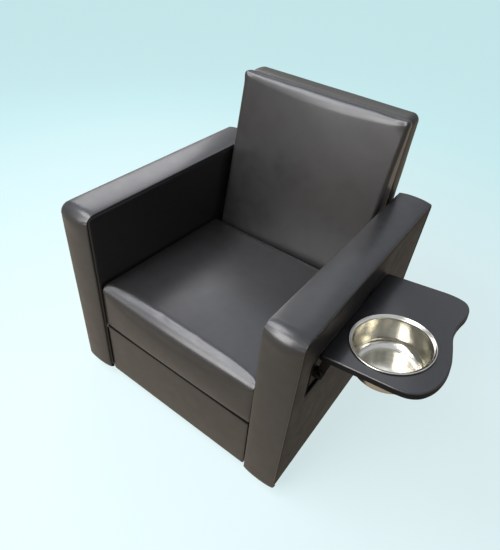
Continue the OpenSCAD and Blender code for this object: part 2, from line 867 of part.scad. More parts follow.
// The pad has a slot at each end, where the lever and the link lie
module legrest_pad() {
    placed() color(leather_colour) difference() {
        loft([for (x = stations(legrest_half, pad_edge_r)) pad_ring(x)]);
        both_sides()
            block([lever_x - bolt_play, seat_setback + pad_skin, legrest_axis[1] - pad_slot_l],
                  [arm_in, arm_d, seat_deck_z]);
    }
}

lever_plate_l = 80;
lever_plate_r = 6;

module legrest_lever() {
    color(steel_colour) along_x(lever_x, lever_x + lever_t) difference() {
        union() {
            eye_bar(legrest_axis, leg_pin, link_r);
            round_rect([legrest_board_y + seat_gap, legrest_axis[1] - lever_plate_l],
                       [legrest_board_y + legrest_board_t, leg_pin[1]], lever_plate_r);
        }
        pin_hole(legrest_axis, legrest_pin_r + snug);
        pin_hole(leg_pin, link_pin_r + snug);
    }
}

module left_legrest_lever() placed() left() legrest_lever();
module right_legrest_lever() placed() legrest_lever();

module legrest_pivot_pins() {
    placed() color(zinc_colour) both_sides()
        translate([lever_x, legrest_axis[0], legrest_axis[1]]) rotate([0, 90, 0])
            cylinder(h = arm_core_in - lever_x - 2, r = legrest_pin_r, $fn = 48);
}

module legrest_bushes() {
    placed() color([0.85, 0.85, 0.82]) both_sides()
        translate([arm_in, legrest_axis[0], legrest_axis[1]]) rotate([0, 90, 0])
            difference() {
                cylinder(h = side_panel_t, r = legrest_pin_r + bush_wall, $fn = 48);
                translate([0, 0, -1])
                    cylinder(h = side_panel_t + 2, r = legrest_pin_r + running, $fn = 48);
            }
}

// ---------------------------------------------------------------- tray recess and wall plates

module recess_liner() {
    placed() color([0.05, 0.05, 0.05]) difference() {
        block([recess_back_x - liner_t, recess_y, recess_z], [arm_out - 0.5, recess_end, recess_top]);
        block([recess_back_x, recess_y + liner_t, recess_z + liner_t],
              [arm_out + 1, recess_end - liner_t, recess_top - liner_t]);
    }
}

backing_margin = 12;

module recess_backing() {
    placed() color(timber_colour)
        block([recess_back_x - liner_t - backing_t, band_t + arm_post_w, recess_z - backing_margin],
              [recess_back_x - liner_t, arm_d - band_t - arm_post_w,
               recess_top + backing_margin]);
}

// A wall plate reaches further to one side of its bracket, where its screws are
plate_long = 46;
plate_short = 15;
plate_below = 48;
plate_above = 44;
plate_corner_r = 6;
cleat_margin = 6;
cleat_z = fold_z - plate_below - cleat_margin;
cleat_top = fold_z + plate_above + 1.5 * cleat_margin;
cleat_front_end = front_bracket_y + plate_long + cleat_margin;
cleat_rear_start = rear_bracket_y - plate_long - cleat_margin;
screw_r = 2.2;
screw_head_r = 4.5;
plate_screw_l = 22;

// Screw places on a wall plate, as [y beyond the bracket, z]
plate_screws = [[33, fold_z - 18], [12, fold_z - 36]];

module plate_screw_shanks(y, way, extra) {
    for (s = plate_screws)
        translate([plate_x + plate_t - plate_screw_l, y + way * s[0], s[1]]) rotate([0, 90, 0])
            cylinder(h = plate_screw_l + 0.5, r = screw_r + extra, $fn = 32);
}

module front_tray_cleat() {
    placed() color([0.1, 0.1, 0.1]) difference() {
        block([recess_back_x, recess_y + liner_t, cleat_z], [plate_x, cleat_front_end, cleat_top]);
        plate_screw_shanks(front_bracket_y, 1, snug);
    }
}

module rear_tray_cleat() {
    placed() color([0.1, 0.1, 0.1]) difference() {
        block([recess_back_x, cleat_rear_start, cleat_z],
              [plate_x, recess_end - liner_t, cleat_top]);
        plate_screw_shanks(rear_bracket_y, -1, snug);
    }
}

// A wall plate with two ears; its screws lie on the side given by way
module wall_plate(y, way) {
    plate_end = y + way * plate_long;
    plate_start = y - way * plate_short;
    color([0.06, 0.06, 0.06]) difference() {
        union() {
            along_x(plate_x, plate_x + plate_t)
                round_rect([min(plate_start, plate_end), fold_z - plate_below],
                           [max(plate_start, plate_end), fold_z + plate_above],
                           plate_corner_r);
            for (y0 = [y - ear_gap - plate_t, y + ear_gap])
                along_y(y0, y0 + plate_t) {
                    translate([fold_x, fold_z]) circle(boss_r, $fn = 64);
                    translate([plate_x + plate_t / 2, fold_z - boss_r])
                        square([fold_x - plate_x - plate_t / 2, 2 * boss_r]);
                }
        }
        translate([fold_x, y - 20, fold_z]) rotate([-90, 0, 0])
            cylinder(h = 40, r = pivot_r + snug, $fn = 48);
        plate_screw_shanks(y, way, snug);
    }
}

module front_wall_plate() placed() wall_plate(front_bracket_y, 1);
module rear_wall_plate() placed() wall_plate(rear_bracket_y, -1);

module wall_plate_screws() {
    placed() color(zinc_colour)
        for (b = [[front_bracket_y, 1], [rear_bracket_y, -1]]) {
            plate_screw_shanks(b[0], b[1], 0);
            for (s = plate_screws)
                translate([plate_x + plate_t, b[0] + b[1] * s[0], s[1]]) rotate([0, 90, 0])
                    rotate_extrude($fn = 48) intersection() {
                        translate([0, -screw_head_r]) circle(screw_head_r * 1.6, $fn = 96);
                        square([screw_head_r, 3]);
                    }
        }
}

bolt_head = 3;
nut_h = 4;

module tray_pivot_bolts() {
    placed() color(zinc_colour)
        for (y = [front_bracket_y, rear_bracket_y])
            translate([fold_x, y - ear_gap - plate_t, fold_z]) rotate([-90, 0, 0]) {
                cylinder(h = 2 * (ear_gap + plate_t) + nut_h + 1, r = pivot_r, $fn = 48);
                translate([0, 0, -bolt_head]) cylinder(h = bolt_head, r = pivot_r + 3, $fn = 48);
            }
}

module tray_pivot_nuts() {
    placed() color(zinc_colour)
        for (y = [front_bracket_y, rear_bracket_y])
            translate([fold_x, y + ear_gap + plate_t, fold_z]) rotate([-90, 0, 0]) difference() {
                cylinder(h = nut_h, r = pivot_r + 3.2, $fn = 6);
                translate([0, 0, -1]) cylinder(h = nut_h + 2, r = pivot_r + snug, $fn = 48);
            }
}

module friction_washers() {
    placed() color([0.8, 0.78, 0.7])
        for (y = [front_bracket_y, rear_bracket_y], way = [-1, 1])
            translate([fold_x, y + way * (ear_gap - seat_gap / 2 - washer_t / 2), fold_z])
                rotate([-90, 0, 0]) difference() {
                    translate([0, 0, -washer_t / 2]) cylinder(h = washer_t, r = boss_r - 2, $fn = 48);
                    translate([0, 0, -washer_t]) cylinder(h = 2 * washer_t, r = pivot_r + snug,
                                                          $fn = 48);
                }
}

// ---------------------------------------------------------------- tray and bowl

// Places the tray's own frame on the fold axis
module on_tray() translate([fold_x, 0, fold_z]) rotate([0, -tray_tilt, 0]) children();

flange_t = 3;
arm_screws = [[35, 1], [70, -1], [110, 1], [bracket_l - 10, -1]];
arm_screw_y = flange_w / 2 - 4;

module arm_screw_shanks(extra) {
    for (y = [front_bracket_y, rear_bracket_y], s = arm_screws)
        translate([s[0], y + s[1] * arm_screw_y, fold_drop - flange_t - 0.5])
            cylinder(h = flange_t + tray_t - 5, r = 1.8 + extra, $fn = 24);
}

// Depth of a bracket arm's web along the board; the place of its knee and its extra depth there
web_h = 12;
web_knee = [28, 2];

// A bracket arm: a bent web with its boss, and a flange under the board
module tray_arm(y) {
    web_top = fold_drop - flange_t / 2;
    color([0.06, 0.06, 0.06]) difference() {
        union() {
            along_y(y - web_t / 2, y + web_t / 2) {
                circle(boss_r, $fn = 64);
                polygon([[-boss_r * 0.7, 0], [tray_inner + 2, web_top], [bracket_l, web_top],
                         [bracket_l, web_top - web_h], [web_knee[0], web_top - web_h - web_knee[1]],
                         [boss_r * 0.8, -boss_r * 0.45]]);
            }
            block([tray_inner + 2, y - flange_w / 2, fold_drop - flange_t],
                  [bracket_l, y + flange_w / 2, fold_drop]);
        }
        translate([0, y - 20, 0]) rotate([-90, 0, 0])
            cylinder(h = 40, r = pivot_r + running, $fn = 48);
        arm_screw_shanks(snug);
    }
}

module front_tray_arm() placed() on_tray() tray_arm(front_bracket_y);
module rear_tray_arm() placed() on_tray() tray_arm(rear_bracket_y);

module tray_arm_screws() {
    placed() on_tray() color(zinc_colour) {
        arm_screw_shanks(0);
        for (y = [front_bracket_y, rear_bracket_y], s = arm_screws)
            translate([s[0], y + s[1] * arm_screw_y, fold_drop - flange_t - 2.2])
                cylinder(h = 2.2, r = 3.4, $fn = 32);
    }
}

// One point of a smooth curve through four neighbours
function curve_point(a, b, c, d, t) =
    (2 * b + (c - a) * t + (2 * a - 5 * b + 4 * c - d) * t * t
        + (3 * b - a - 3 * c + d) * t * t * t) / 2;

// The wavy outer edge, as [share of the reach, share of the length], from front to rear
tray_edge = [
    [0.68, 0], [0.79, 0.01], [0.875, 0.042], [0.935, 0.098], [0.972, 0.17], [0.987, 0.26],
    [0.975, 0.36], [0.935, 0.47], [0.893, 0.57], [0.878, 0.66], [0.888, 0.74], [0.905, 0.81],
    [0.9, 0.89], [0.852, 0.955], [0.76, 0.987], [0.64, 1]
];

module tray_outline() {
    points = [for (p = tray_edge) [tray_inner + tray_reach * p[0], tray_y + tray_l * p[1]]];
    steps = 4;
    curve = [
        for (i = [0 : len(points) - 2], j = [0 : steps - 1])
            curve_point(points[max(i - 1, 0)], points[i], points[i + 1],
                        points[min(i + 2, len(points) - 1)], j / steps)
    ];
    polygon(concat([[tray_inner, tray_y]], curve,
                   [points[len(points) - 1], [tray_inner, tray_y + tray_l]]));
}

module tray_board() {
    placed() on_tray() color([0.1, 0.1, 0.105]) difference() {
        translate([0, 0, fold_drop]) linear_extrude(tray_t) tray_outline();
        translate([bowl_x, bowl_y, fold_drop - 1])
            cylinder(h = tray_t + 2, r = bowl_r + bowl_clear, $fn = 128);
        arm_screw_shanks(snug);
    }
}

// Half section of a bowl body with a round lower corner
module bowl_half(r, depth, corner) {
    translate([0, -depth]) square([r - corner, depth]);
    translate([0, corner - depth]) square([r, depth - corner]);
    intersection() {
        translate([r - corner, corner - depth]) circle(corner, $fn = 96);
        translate([0, -depth]) square([r, depth]);
    }
}

module bowl() {
    placed() on_tray() color([0.78, 0.78, 0.78])
        translate([bowl_x, bowl_y, fold_drop + tray_t + seat_gap]) rotate_extrude($fn = 128) {
            difference() {
                bowl_half(bowl_r, bowl_depth, bowl_corner_r);
                translate([0, 0.01]) bowl_half(bowl_r - bowl_t, bowl_depth - bowl_t,
                                               bowl_corner_r - bowl_t);
            }
            translate([bowl_r - bowl_t, 0]) square([rim_w + bowl_t, bowl_t]);
            translate([bowl_r + rim_w, rim_roll_r]) circle(rim_roll_r, $fn = 32);
        }
}

// ---------------------------------------------------------------- the assembly

left_arm_frame();
left_arm_inner_panel();
left_arm_outer_panel();
left_arm_band();
right_arm_frame();
right_arm_inner_panel();
right_arm_outer_panel();
right_arm_band();
feet();
foot_screws();
front_stretcher();
rear_stretcher();
rear_upper_rail();
rear_panel();
dust_cover();
seat_front_tube();
seat_rear_tube();
seat_left_tube();
seat_right_tube();
seat_brackets();
seat_board();
seat_cushion();
recess_liner();
recess_backing();
front_tray_cleat();
rear_tray_cleat();
front_wall_plate();
rear_wall_plate();
wall_plate_screws();
tray_pivot_bolts();
tray_pivot_nuts();
friction_washers();
front_tray_arm();
rear_tray_arm();
tray_arm_screws();
tray_board();
bowl();
back_frame();
back_board();
back_cushion();
back_boxing();
back_rear_panel();
left_back_lever();
right_back_lever();
back_lever_screws();
recline_hinge_plates();
recline_pivot_bolts();
rear_link_pins();
left_recline_link();
right_recline_link();
front_link_pins();
legrest_board();
legrest_pad();
left_legrest_lever();
right_legrest_lever();
legrest_pivot_pins();
legrest_bushes();
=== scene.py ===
"""Looks of a salon armchair with a reclining back, a leg rest and a folding side tray.

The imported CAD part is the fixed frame. Each sub-assembly is a class that holds its sizes in
millimetres, in the chair's own drawing frame: x from the middle of the seat, y from the arms'
front, z from the floor. Its methods build the padded covers, seams and fittings and dress them.
"""
import logging
import math
from collections.abc import Callable, Sequence
from dataclasses import dataclass
from enum import Enum

import bmesh
import bpy
import numpy as np
from mathutils import Matrix, Vector
from mathutils.geometry import delaunay_2d_cdt


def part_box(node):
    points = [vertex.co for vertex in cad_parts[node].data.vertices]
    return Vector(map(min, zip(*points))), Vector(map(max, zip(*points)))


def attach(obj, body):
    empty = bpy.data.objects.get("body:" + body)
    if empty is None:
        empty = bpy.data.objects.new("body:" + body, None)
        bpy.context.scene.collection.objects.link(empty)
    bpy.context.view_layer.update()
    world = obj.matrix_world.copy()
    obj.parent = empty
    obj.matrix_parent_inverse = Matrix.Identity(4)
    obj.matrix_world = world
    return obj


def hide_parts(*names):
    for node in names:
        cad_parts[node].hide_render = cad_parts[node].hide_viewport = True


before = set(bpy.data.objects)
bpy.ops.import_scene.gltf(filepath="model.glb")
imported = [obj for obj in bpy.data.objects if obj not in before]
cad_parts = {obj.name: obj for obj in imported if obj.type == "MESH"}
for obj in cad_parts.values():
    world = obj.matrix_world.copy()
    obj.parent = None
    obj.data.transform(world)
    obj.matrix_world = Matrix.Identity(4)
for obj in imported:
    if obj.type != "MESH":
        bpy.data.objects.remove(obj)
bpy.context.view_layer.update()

LOG = logging.getLogger("chair")
MM = 0.001
# Angles in degrees over which an edge of a panel, a wrapped strip or a cushion is sharp.
PANEL_SHARP = 50.0
STRIP_SHARP = 60.0
CUSHION_SHARP = 80.0

Array = np.ndarray
Piece = bpy.types.Object
Face = tuple[int, ...]
Body = tuple[Array, list[Face]]
Linear = tuple[float, float, float]
Surface = Callable[[Array, Array, Array], Array]
Socket = bpy.types.NodeSocket
Inputs = dict[str | int, float | Sequence[float] | Socket]


class Side(Enum):
    """The two sides of the chair, as seen from the front, with the sign of their x."""

    LEFT = -1
    RIGHT = 1

    @property
    def word(self) -> str:
        """Name of the side in piece names."""
        return self.name.lower()


class Texture(Enum):
    """How a finish is textured."""

    LEATHER = "leather"
    WOOD = "wood"
    PLY = "ply"
    SATIN = "satin"
    PLATED = "plated"
    SPUN = "spun"
    PLASTIC = "plastic"
    CLOTH = "cloth"


# ---------------------------------------------------------------- finishes


@dataclass(frozen=True)
class Finish:
    """A surface finish.

    Attributes:
        name: Start of its material's name.
        texture: Kind of procedural texture.
        colour: Main linear colour.
        second: Linear colour of the darker or lighter areas.
        roughness: Mean roughness.
        spread: How far the roughness goes to each side of its mean.
        relief: Height of the bumps in millimetres.
        metallic: 1 for bare metal.
        sheen: Weight of the sheen on cloth.
        coat: Weight of a clear coat.
        coat_rough: Roughness of the clear coat.
        gloss: Level of the plain reflection, 0.5 for most plastics.
    """

    name: str
    texture: Texture
    colour: Linear
    second: Linear
    roughness: float
    spread: float = 0.05
    relief: float = 0.1
    metallic: float = 0.0
    sheen: float = 0.0
    coat: float = 0.0
    coat_rough: float = 0.2
    gloss: float = 0.5

    def material(self) -> bpy.types.Material:
        """Builds the material once, and gives the same one after that."""
        title = self.name + "_finish"
        found = bpy.data.materials.get(title)
        if found:
            return found
        made = bpy.data.materials.new(title)
        made.use_nodes = True
        made.diffuse_color = (*self.colour, 1)
        Painter(made, self).paint()
        return made


class Graph:
    """Adds nodes to one material or world and joins them."""

    def __init__(self, tree: bpy.types.NodeTree) -> None:
        """Keeps the node tree."""
        self.nodes, self.links = tree.nodes, tree.links

    def fill(self, node: bpy.types.Node, inputs: Inputs) -> None:
        """Sets a node's inputs, or joins them where they are given as another node's output.

        Args:
            node: The node.
            inputs: Number, colour or output for each input by its name or place.
        """
        for key, value in inputs.items():
            if isinstance(value, Socket):
                self.links.new(value, node.inputs[key])
            else:
                node.inputs[key].default_value = value

    def add(self, kind: str, out: str, inputs: Inputs, **settings: str) -> Socket:
        """Adds a node.

        Args:
            kind: Kind of shader node.
            out: Name of the wanted output.
            inputs: Number, colour or output for each input by its name or place.
            settings: The node's other settings.

        Returns:
            The wanted output.
        """
        node = self.nodes.new("ShaderNode" + kind)
        for word, value in settings.items():
            setattr(node, word, value)
        self.fill(node, inputs)
        return node.outputs[out]

    def math(self, operation: str, *values: Socket | float) -> Socket:
        """Result of a calculation with outputs and numbers."""
        return self.add("Math", "Value", dict(enumerate(values)), operation=operation)

    def length(self, vector: Socket) -> Socket:
        """Length of a vector."""
        return self.add("VectorMath", "Value", {0: vector}, operation="LENGTH")

    def ramp(self, value: Socket, *marks: tuple[float, Linear]) -> Socket:
        """Blends two colours by a value.

        Args:
            value: The value.
            marks: Place on the ramp and colour, for its start and for its end.

        Returns:
            The colour.
        """
        node = self.nodes.new("ShaderNodeValToRGB")
        for element, (position, colour) in zip(node.color_ramp.elements, marks):
            element.position = position
            element.color = (*colour, 1)
        self.fill(node, {"Fac": value})
        return node.outputs["Color"]

    def mixed(self, share: Socket, first: Socket, second: Socket) -> Socket:
        """Mixes two shaders by the second one's share."""
        return self.add("MixShader", "Shader", {"Fac": share, 1: first, 2: second})

    def rays(self) -> tuple[Socket, Socket]:
        """Whether a ray comes from the camera, and whether it comes off or through a surface."""
        path = self.nodes.new("ShaderNodeLightPath").outputs
        return path["Is Camera Ray"], self.math("MAXIMUM", path["Is Glossy Ray"],
                                                path["Is Transmission Ray"])


class Painter(Graph):
    """Lays out the shader nodes of one finish."""

    def __init__(self, material: bpy.types.Material, finish: Finish) -> None:
        """Keeps the finish and finds the material's shader.

        Args:
            material: Material with nodes in use.
            finish: Finish to lay out.
        """
        super().__init__(material.node_tree)
        self.finish = finish
        self.shader = self.nodes["Principled BSDF"]
        self.place = self.add("TexCoord", "Object", {})

    def paint(self) -> None:
        """Sets the shader's constants, then lays out the finish's own texture."""
        finish = self.finish
        self.fill(self.shader, {
            "Metallic": finish.metallic, "Sheen Weight": finish.sheen,
            "Coat Weight": finish.coat, "Coat Roughness": finish.coat_rough,
            "Specular IOR Level": finish.gloss})
        getattr(self, "_" + finish.texture.value)()

    def _mapped(self, scale: Linear) -> Socket:
        """Object coordinates stretched by a scale for each axis."""
        return self.add("Mapping", "Vector", {"Vector": self.place, "Scale": scale})

    def _noise(self, scale: float, detail: float, place: Socket | None = None) -> Socket:
        """Noise between 0 and 1.

        Args:
            scale: Features in a metre.
            detail: Octaves.
            place: Coordinates, the object's own where none are given.

        Returns:
            The noise's value.
        """
        return self.add("TexNoise", "Fac", {"Vector": place or self.place, "Scale": scale,
                                            "Detail": detail})

    def _cells(self, scale: float, feature: str = "SMOOTH_F1") -> Socket:
        """Distance in a pattern of cells, so many in a metre, such as a hide's grain."""
        return self.add("TexVoronoi", "Distance", {"Vector": self.place, "Scale": scale},
                        feature=feature)

    def _sum(self, first: Socket, second: Socket, share: float) -> Socket:
        """First value plus a share of the second."""
        return self.math("MULTIPLY_ADD", second, share, first)

    def _colour(self, value: Socket, start: float = 0.35, end: float = 0.65) -> None:
        """Blends the finish's two colours by a value."""
        colour = self.ramp(value, (start, self.finish.second), (end, self.finish.colour))
        self.fill(self.shader, {"Base Color": colour})

    def _roughness(self, value: Socket) -> None:
        """Varies the roughness about its mean."""
        mean, spread = self.finish.roughness, self.finish.spread
        varied = self.add("MapRange", "Result", {
            "Value": value, "From Min": 0.3, "From Max": 0.7,
            "To Min": mean - spread, "To Max": mean + spread})
        self.fill(self.shader, {"Roughness": varied})

    def _bump(self, height: Socket, strength: float = 0.6) -> None:
        """Raises the surface by the finish's relief."""
        normal = self.add("Bump", "Normal", {
            "Height": height, "Strength": strength, "Distance": self.finish.relief * MM})
        self.fill(self.shader, {"Normal": normal})

    def _leather(self) -> None:
        """Coated leatherette: pebbled grain, soft hollows, faintly uneven shine."""
        pebbles = self._cells(1150)
        grain = self._sum(pebbles, self._noise(2600, 2), 0.35)
        self._bump(self._sum(grain, self._noise(70, 3), 1.6), 0.5)
        self._colour(self._sum(self._noise(38, 3), pebbles, 0.25))
        self._roughness(self._sum(self._noise(22, 4), grain, 0.2))

    def _wood(self) -> None:
        """Sawn softwood: long grain with knots of darker rings."""
        rings = self.add("TexWave", "Fac", {"Vector": self._mapped((0.35, 1, 1)), "Scale": 34,
                                            "Distortion": 9, "Detail": 3})
        fibre = self._noise(420, 3, self._mapped((0.05, 1, 1)))
        self._colour(self._sum(rings, fibre, 0.5), 0.2, 1.1)
        self._bump(fibre)
        self._roughness(fibre)

    def _ply(self) -> None:
        """Plywood: thin layers on the edge, calm broad grain on the face."""
        layers = self._noise(620, 1, self._mapped((0.02, 0.02, 1)))
        figure = self._noise(26, 4, self._mapped((0.2, 1, 1)))
        self._colour(self._sum(figure, layers, 0.4), 0.45, 0.95)
        self._bump(layers)
        self._roughness(figure)

    def _satin(self) -> None:
        """Sprayed satin coat: fine orange peel and faint handling marks."""
        peel = self._cells(520)
        marks = self._noise(55, 5)
        self._colour(self._sum(marks, peel, 0.1))
        self._bump(peel, 0.25)
        self._roughness(marks)

    def _plated(self) -> None:
        """Bright zinc: small spangles and a slightly uneven shine."""
        spangle = self._cells(320, "F1")
        self._colour(self._sum(self._noise(90, 3), spangle, 0.3))
        self._bump(spangle, 0.3)
        self._roughness(self._noise(150, 3))

    def _spun(self) -> None:
        """Spun stainless steel: fine rings round the bowl's axis."""
        height = self.add("SeparateXYZ", "Z", {"Vector": self.place})
        radius = self.length(self._mapped((1, 1, 0)))
        lathe = self.add("CombineXYZ", "Vector", {"X": radius, "Z": height})
        rings = self._noise(900, 2, lathe)
        waves = self._sum(self._noise(38, 2, lathe), rings, 0.08)
        self._bump(self._sum(waves, self._noise(30, 2), 0.9), 0.5)
        self._colour(self._sum(self._noise(24, 3), rings, 0.3))
        self._roughness(rings)

    def _plastic(self) -> None:
        """Moulded plastic with a faint spark-eroded grain."""
        self._colour(self._noise(45, 3))
        self._bump(self._cells(1400), 0.4)
        self._roughness(self._noise(130, 3))

    def _cloth(self) -> None:
        """Spun-bonded cloth: dimples in rows and a fibrous nap."""
        dimples = self._cells(420, "F1")
        nap = self._noise(1600, 3)
        self._bump(self._sum(dimples, nap, 0.6), 0.8)
        self._colour(self._sum(nap, dimples, 0.3))
        self._roughness(nap)


LEATHER = Finish("leather", Texture.LEATHER, (0.0175, 0.0168, 0.0172), (0.0128, 0.0122, 0.0126),
                 0.38, 0.05, 0.045, coat=0.56, coat_rough=0.24)
LEATHER_SIDE = Finish("leather_side", Texture.LEATHER, (0.0175, 0.0165, 0.0165),
                      (0.0128, 0.012, 0.012), 0.5, 0.05, 0.05, gloss=0.3)
LEATHER_REAR = Finish("leather_rear", Texture.LEATHER, (0.042, 0.04, 0.03),
                      (0.029, 0.028, 0.021), 0.44, 0.05, 0.06, coat=0.3, coat_rough=0.3)
# Same leatherette as the covers. Its lighter tone is a painted highlight along the seams' ridges.
WELT_HIGHLIGHT = Finish("leather_seam_painted_highlight", Texture.LEATHER, (0.024, 0.023, 0.023), (0.018, 0.017, 0.017),
              0.34, 0.04, 0.04, coat=0.8, coat_rough=0.22)
# Near-black, matt strip on the leg rest's top roll: painted shade for the gap under the seat's
# front.
LEGREST_SHADE_LINE = Finish("leather_painted_shade_line", Texture.LEATHER, (0.006, 0.006, 0.006), (0.004, 0.004, 0.004),
             0.8, 0.05, 0.1, gloss=0.1)
TIMBER = Finish("timber", Texture.WOOD, (0.56, 0.38, 0.2), (0.36, 0.21, 0.1), 0.62, 0.08, 0.3)
PLYWOOD = Finish("plywood", Texture.PLY, (0.62, 0.44, 0.25), (0.42, 0.27, 0.13), 0.58, 0.08, 0.2)
FRAME_STEEL = Finish("frame_steel", Texture.SATIN, (0.022, 0.022, 0.024),
                     (0.014, 0.014, 0.016), 0.42, 0.06, 0.12)
# Black steel for the tray's fittings. Its black is real; its extra darkness over the frame steel is
# painted shade for the recess and under the tray.
BRACKET_SHADE_STEEL = Finish("bracket_steel_painted_shade", Texture.SATIN, (0.009, 0.009, 0.0095),
                       (0.006, 0.006, 0.0065), 0.6, 0.06, 0.12, gloss=0.25)
ZINC = Finish("zinc", Texture.PLATED, (0.62, 0.63, 0.65), (0.46, 0.47, 0.5), 0.32, 0.08, 0.04,
              metallic=1.0)
BLACK_OXIDE = Finish("black_oxide", Texture.PLATED, (0.045, 0.045, 0.048), (0.03, 0.03, 0.032),
                     0.45, 0.08, 0.04, metallic=1.0)
POLISHED = Finish("polished_steel", Texture.SPUN, (0.6, 0.58, 0.51), (0.46, 0.44, 0.38), 0.2,
                  0.05, 0.3, metallic=1.0)
TRAY_BLACK = Finish("tray_board", Texture.SATIN, (0.013, 0.013, 0.0145), (0.009, 0.009, 0.0105),
                    0.38, 0.05, 0.03, coat=0.6, coat_rough=0.16)
# Darker copy of the board's black for its edge and underside: painted shade. Its lower gloss is the
# edge's own.
TRAY_SHADED_EDGE = Finish("tray_edge", Texture.SATIN, (0.007, 0.007, 0.008), (0.005, 0.005, 0.006),
                   0.55, 0.06, 0.05, gloss=0.16)
# Near-black, darker than the leather: painted shade inside the tray's recess.
RECESS_SHADE = Finish("recess_black", Texture.LEATHER, (0.006, 0.006, 0.0065),
                      (0.004, 0.004, 0.0045), 0.6, 0.05, 0.1, gloss=0.2)
FOOT_PLASTIC = Finish("foot_plastic", Texture.PLASTIC, (0.6, 0.57, 0.48), (0.48, 0.45, 0.37),
                      0.45, 0.06, 0.08)
BUSH_PLASTIC = Finish("bush_plastic", Texture.PLASTIC, (0.66, 0.64, 0.56), (0.54, 0.52, 0.45),
                      0.4, 0.05, 0.06)
DUST_CLOTH = Finish("dust_cloth", Texture.CLOTH, (0.02, 0.02, 0.021), (0.012, 0.012, 0.013),
                    0.85, 0.06, 0.3, sheen=0.15)


# ---------------------------------------------------------------- drawing frame and meshes


@dataclass(frozen=True)
class Drawing:
    """Place of the chair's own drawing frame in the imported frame, in metres."""

    origin: Linear

    @classmethod
    def of_frame(cls) -> "Drawing":
        """Finds the drawing's origin from the seat's middle and the arms' front face."""
        low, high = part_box("seat_board")
        return cls(((low.x + high.x) / 2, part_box("right_arm_band")[0].y, 0.0))

    def metres(self, points: Array) -> Array:
        """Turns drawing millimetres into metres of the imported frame."""
        return np.asarray(points, float) * MM + np.array(self.origin)

    def millimetres(self, points: Array) -> Array:
        """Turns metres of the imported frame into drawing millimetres."""
        return (np.asarray(points, float) - np.array(self.origin)) / MM


@dataclass(frozen=True)
class Ripple:
    """Smooth seeded unevenness, the sum of waves in random directions.

    Attributes:
        seed: Seed of the directions and phases.
        length: Mean wave length in millimetres.
        waves: Number of waves.
    """

    seed: int
    length: float
    waves: int = 14

    def at(self, points: Array) -> Array:
        """Value from about -1 to 1 at each point."""
        random = np.random.default_rng(self.seed)
        ways = unit(random.normal(size=(self.waves, 3)))
        turns = 2 * np.pi / (self.length * random.uniform(0.6, 1.7, self.waves))
        phases = random.uniform(0, 2 * np.pi, self.waves)
        waves = np.sin(points @ (ways * turns[:, None]).T + phases)
        return waves.sum(axis=1) / math.sqrt(self.waves) / 1.4

    def on(self, flat: Array) -> Array:
        """Value at each point of a plane."""
        return self.at(np.column_stack((flat, flat[:, 0] * 0)))


def unit(vectors: Array) -> Array:
    """Vectors scaled to a length of one."""
    return vectors / np.linalg.norm(vectors, axis=1)[:, None]


def grid_faces(rows: int, columns: int, wrap: bool = False) -> list[Face]:
    """Quads of a grid of points.

    Args:
        rows: Rows of points.
        columns: Points in a row.
        wrap: Whether each row closes on itself.

    Returns:
        The faces.
    """
    last = columns if wrap else columns - 1
    return [(r * columns + c, r * columns + (c + 1) % columns,
             (r + 1) * columns + (c + 1) % columns, (r + 1) * columns + c)
            for r in range(rows - 1) for c in range(last)]


def capped_tube(rings: Array) -> Body:
    """Closed body through rings of points.

    Args:
        rings: Array of ring, point on the ring and axis.

    Returns:
        The points and faces, with a cap of crosswise strips on each end.
    """
    rows, columns = rings.shape[:2]
    faces = grid_faces(rows, columns, wrap=True)
    half, last = columns // 2, (rows - 1) * columns
    for c in range(half if columns % 2 else half - 1):
        cap = [c, c + 1, columns - 2 - c, columns - 1 - c]
        cap = cap if cap[1] != cap[2] else cap[:2] + cap[3:]
        faces += [tuple(cap[::-1]), tuple(last + i for i in cap)]
    return rings.reshape(-1, 3), faces


def line(start: Sequence[float], end: Sequence[float], count: int) -> Array:
    """Evenly spaced points from start to just before end."""
    shares = np.linspace(0, 1, count, endpoint=False)[:, None]
    return np.asarray(start, float) + (np.asarray(end, float) - np.asarray(start, float)) * shares


def arc(centre: Sequence[float], radius: float, start: float, end: float,
        count: int) -> Array:
    """Points on an arc from start to just before end, in degrees."""
    angles = np.radians(np.linspace(start, end, count, endpoint=False))
    return np.asarray(centre, float) + radius * np.column_stack((np.cos(angles), np.sin(angles)))


def round_loop(low: Sequence[float], high: Sequence[float], radii: Sequence[float],
               step: float) -> Array:
    """Closed loop round a rectangle with round corners.

    Args:
        low: Lowest corner.
        high: Highest corner.
        radii: Radii of the lower left, lower right, upper right and upper left corners.
        step: Distance between points.

    Returns:
        The loop's points, anticlockwise.
    """
    corners = [(low[0], low[1], 1, 1), (high[0], low[1], -1, 1),
               (high[0], high[1], -1, -1), (low[0], high[1], 1, -1)]
    centres = [np.array((x + way_x * radius, y + way_y * radius))
               for radius, (x, y, way_x, way_y) in zip(radii, corners)]
    turns = [arc(centre, radius, 180 + 90 * i, 270 + 90 * i, max(3, int(radius * 1.6 / step) + 3))
             for i, (radius, centre) in enumerate(zip(radii, centres))]
    loop = []
    for i, (radius, centre, turn) in enumerate(zip(radii, centres, turns)):
        last = math.radians(270 + 90 * i)
        end = centre + radius * np.array((math.cos(last), math.sin(last)))
        start = turns[(i + 1) % 4][0]
        gap = float(np.linalg.norm(start - end))
        loop += [turn, line(end, start, max(1, int(gap / step)))]
    return np.vstack(loop)


def loop_normals(loop: Array) -> Array:
    """Unit normals that point out of an anticlockwise loop."""
    along = np.roll(loop, -1, axis=0) - np.roll(loop, 1, axis=0)
    return unit(np.column_stack((along[:, 1], -along[:, 0])))


def gap_to(points: Array, loop: Array) -> Array:
    """Distance from each point to a closed loop."""
    start, way = loop, np.roll(loop, -1, axis=0) - loop
    length = (way ** 2).sum(axis=1)
    best = np.full(len(points), np.inf)
    for a, w, l in zip(start, way, length):
        share = np.clip(((points - a) @ w) / max(l, 1e-9), 0, 1)[:, None]
        best = np.minimum(best, np.linalg.norm(points - a - share * w, axis=1))
    return best


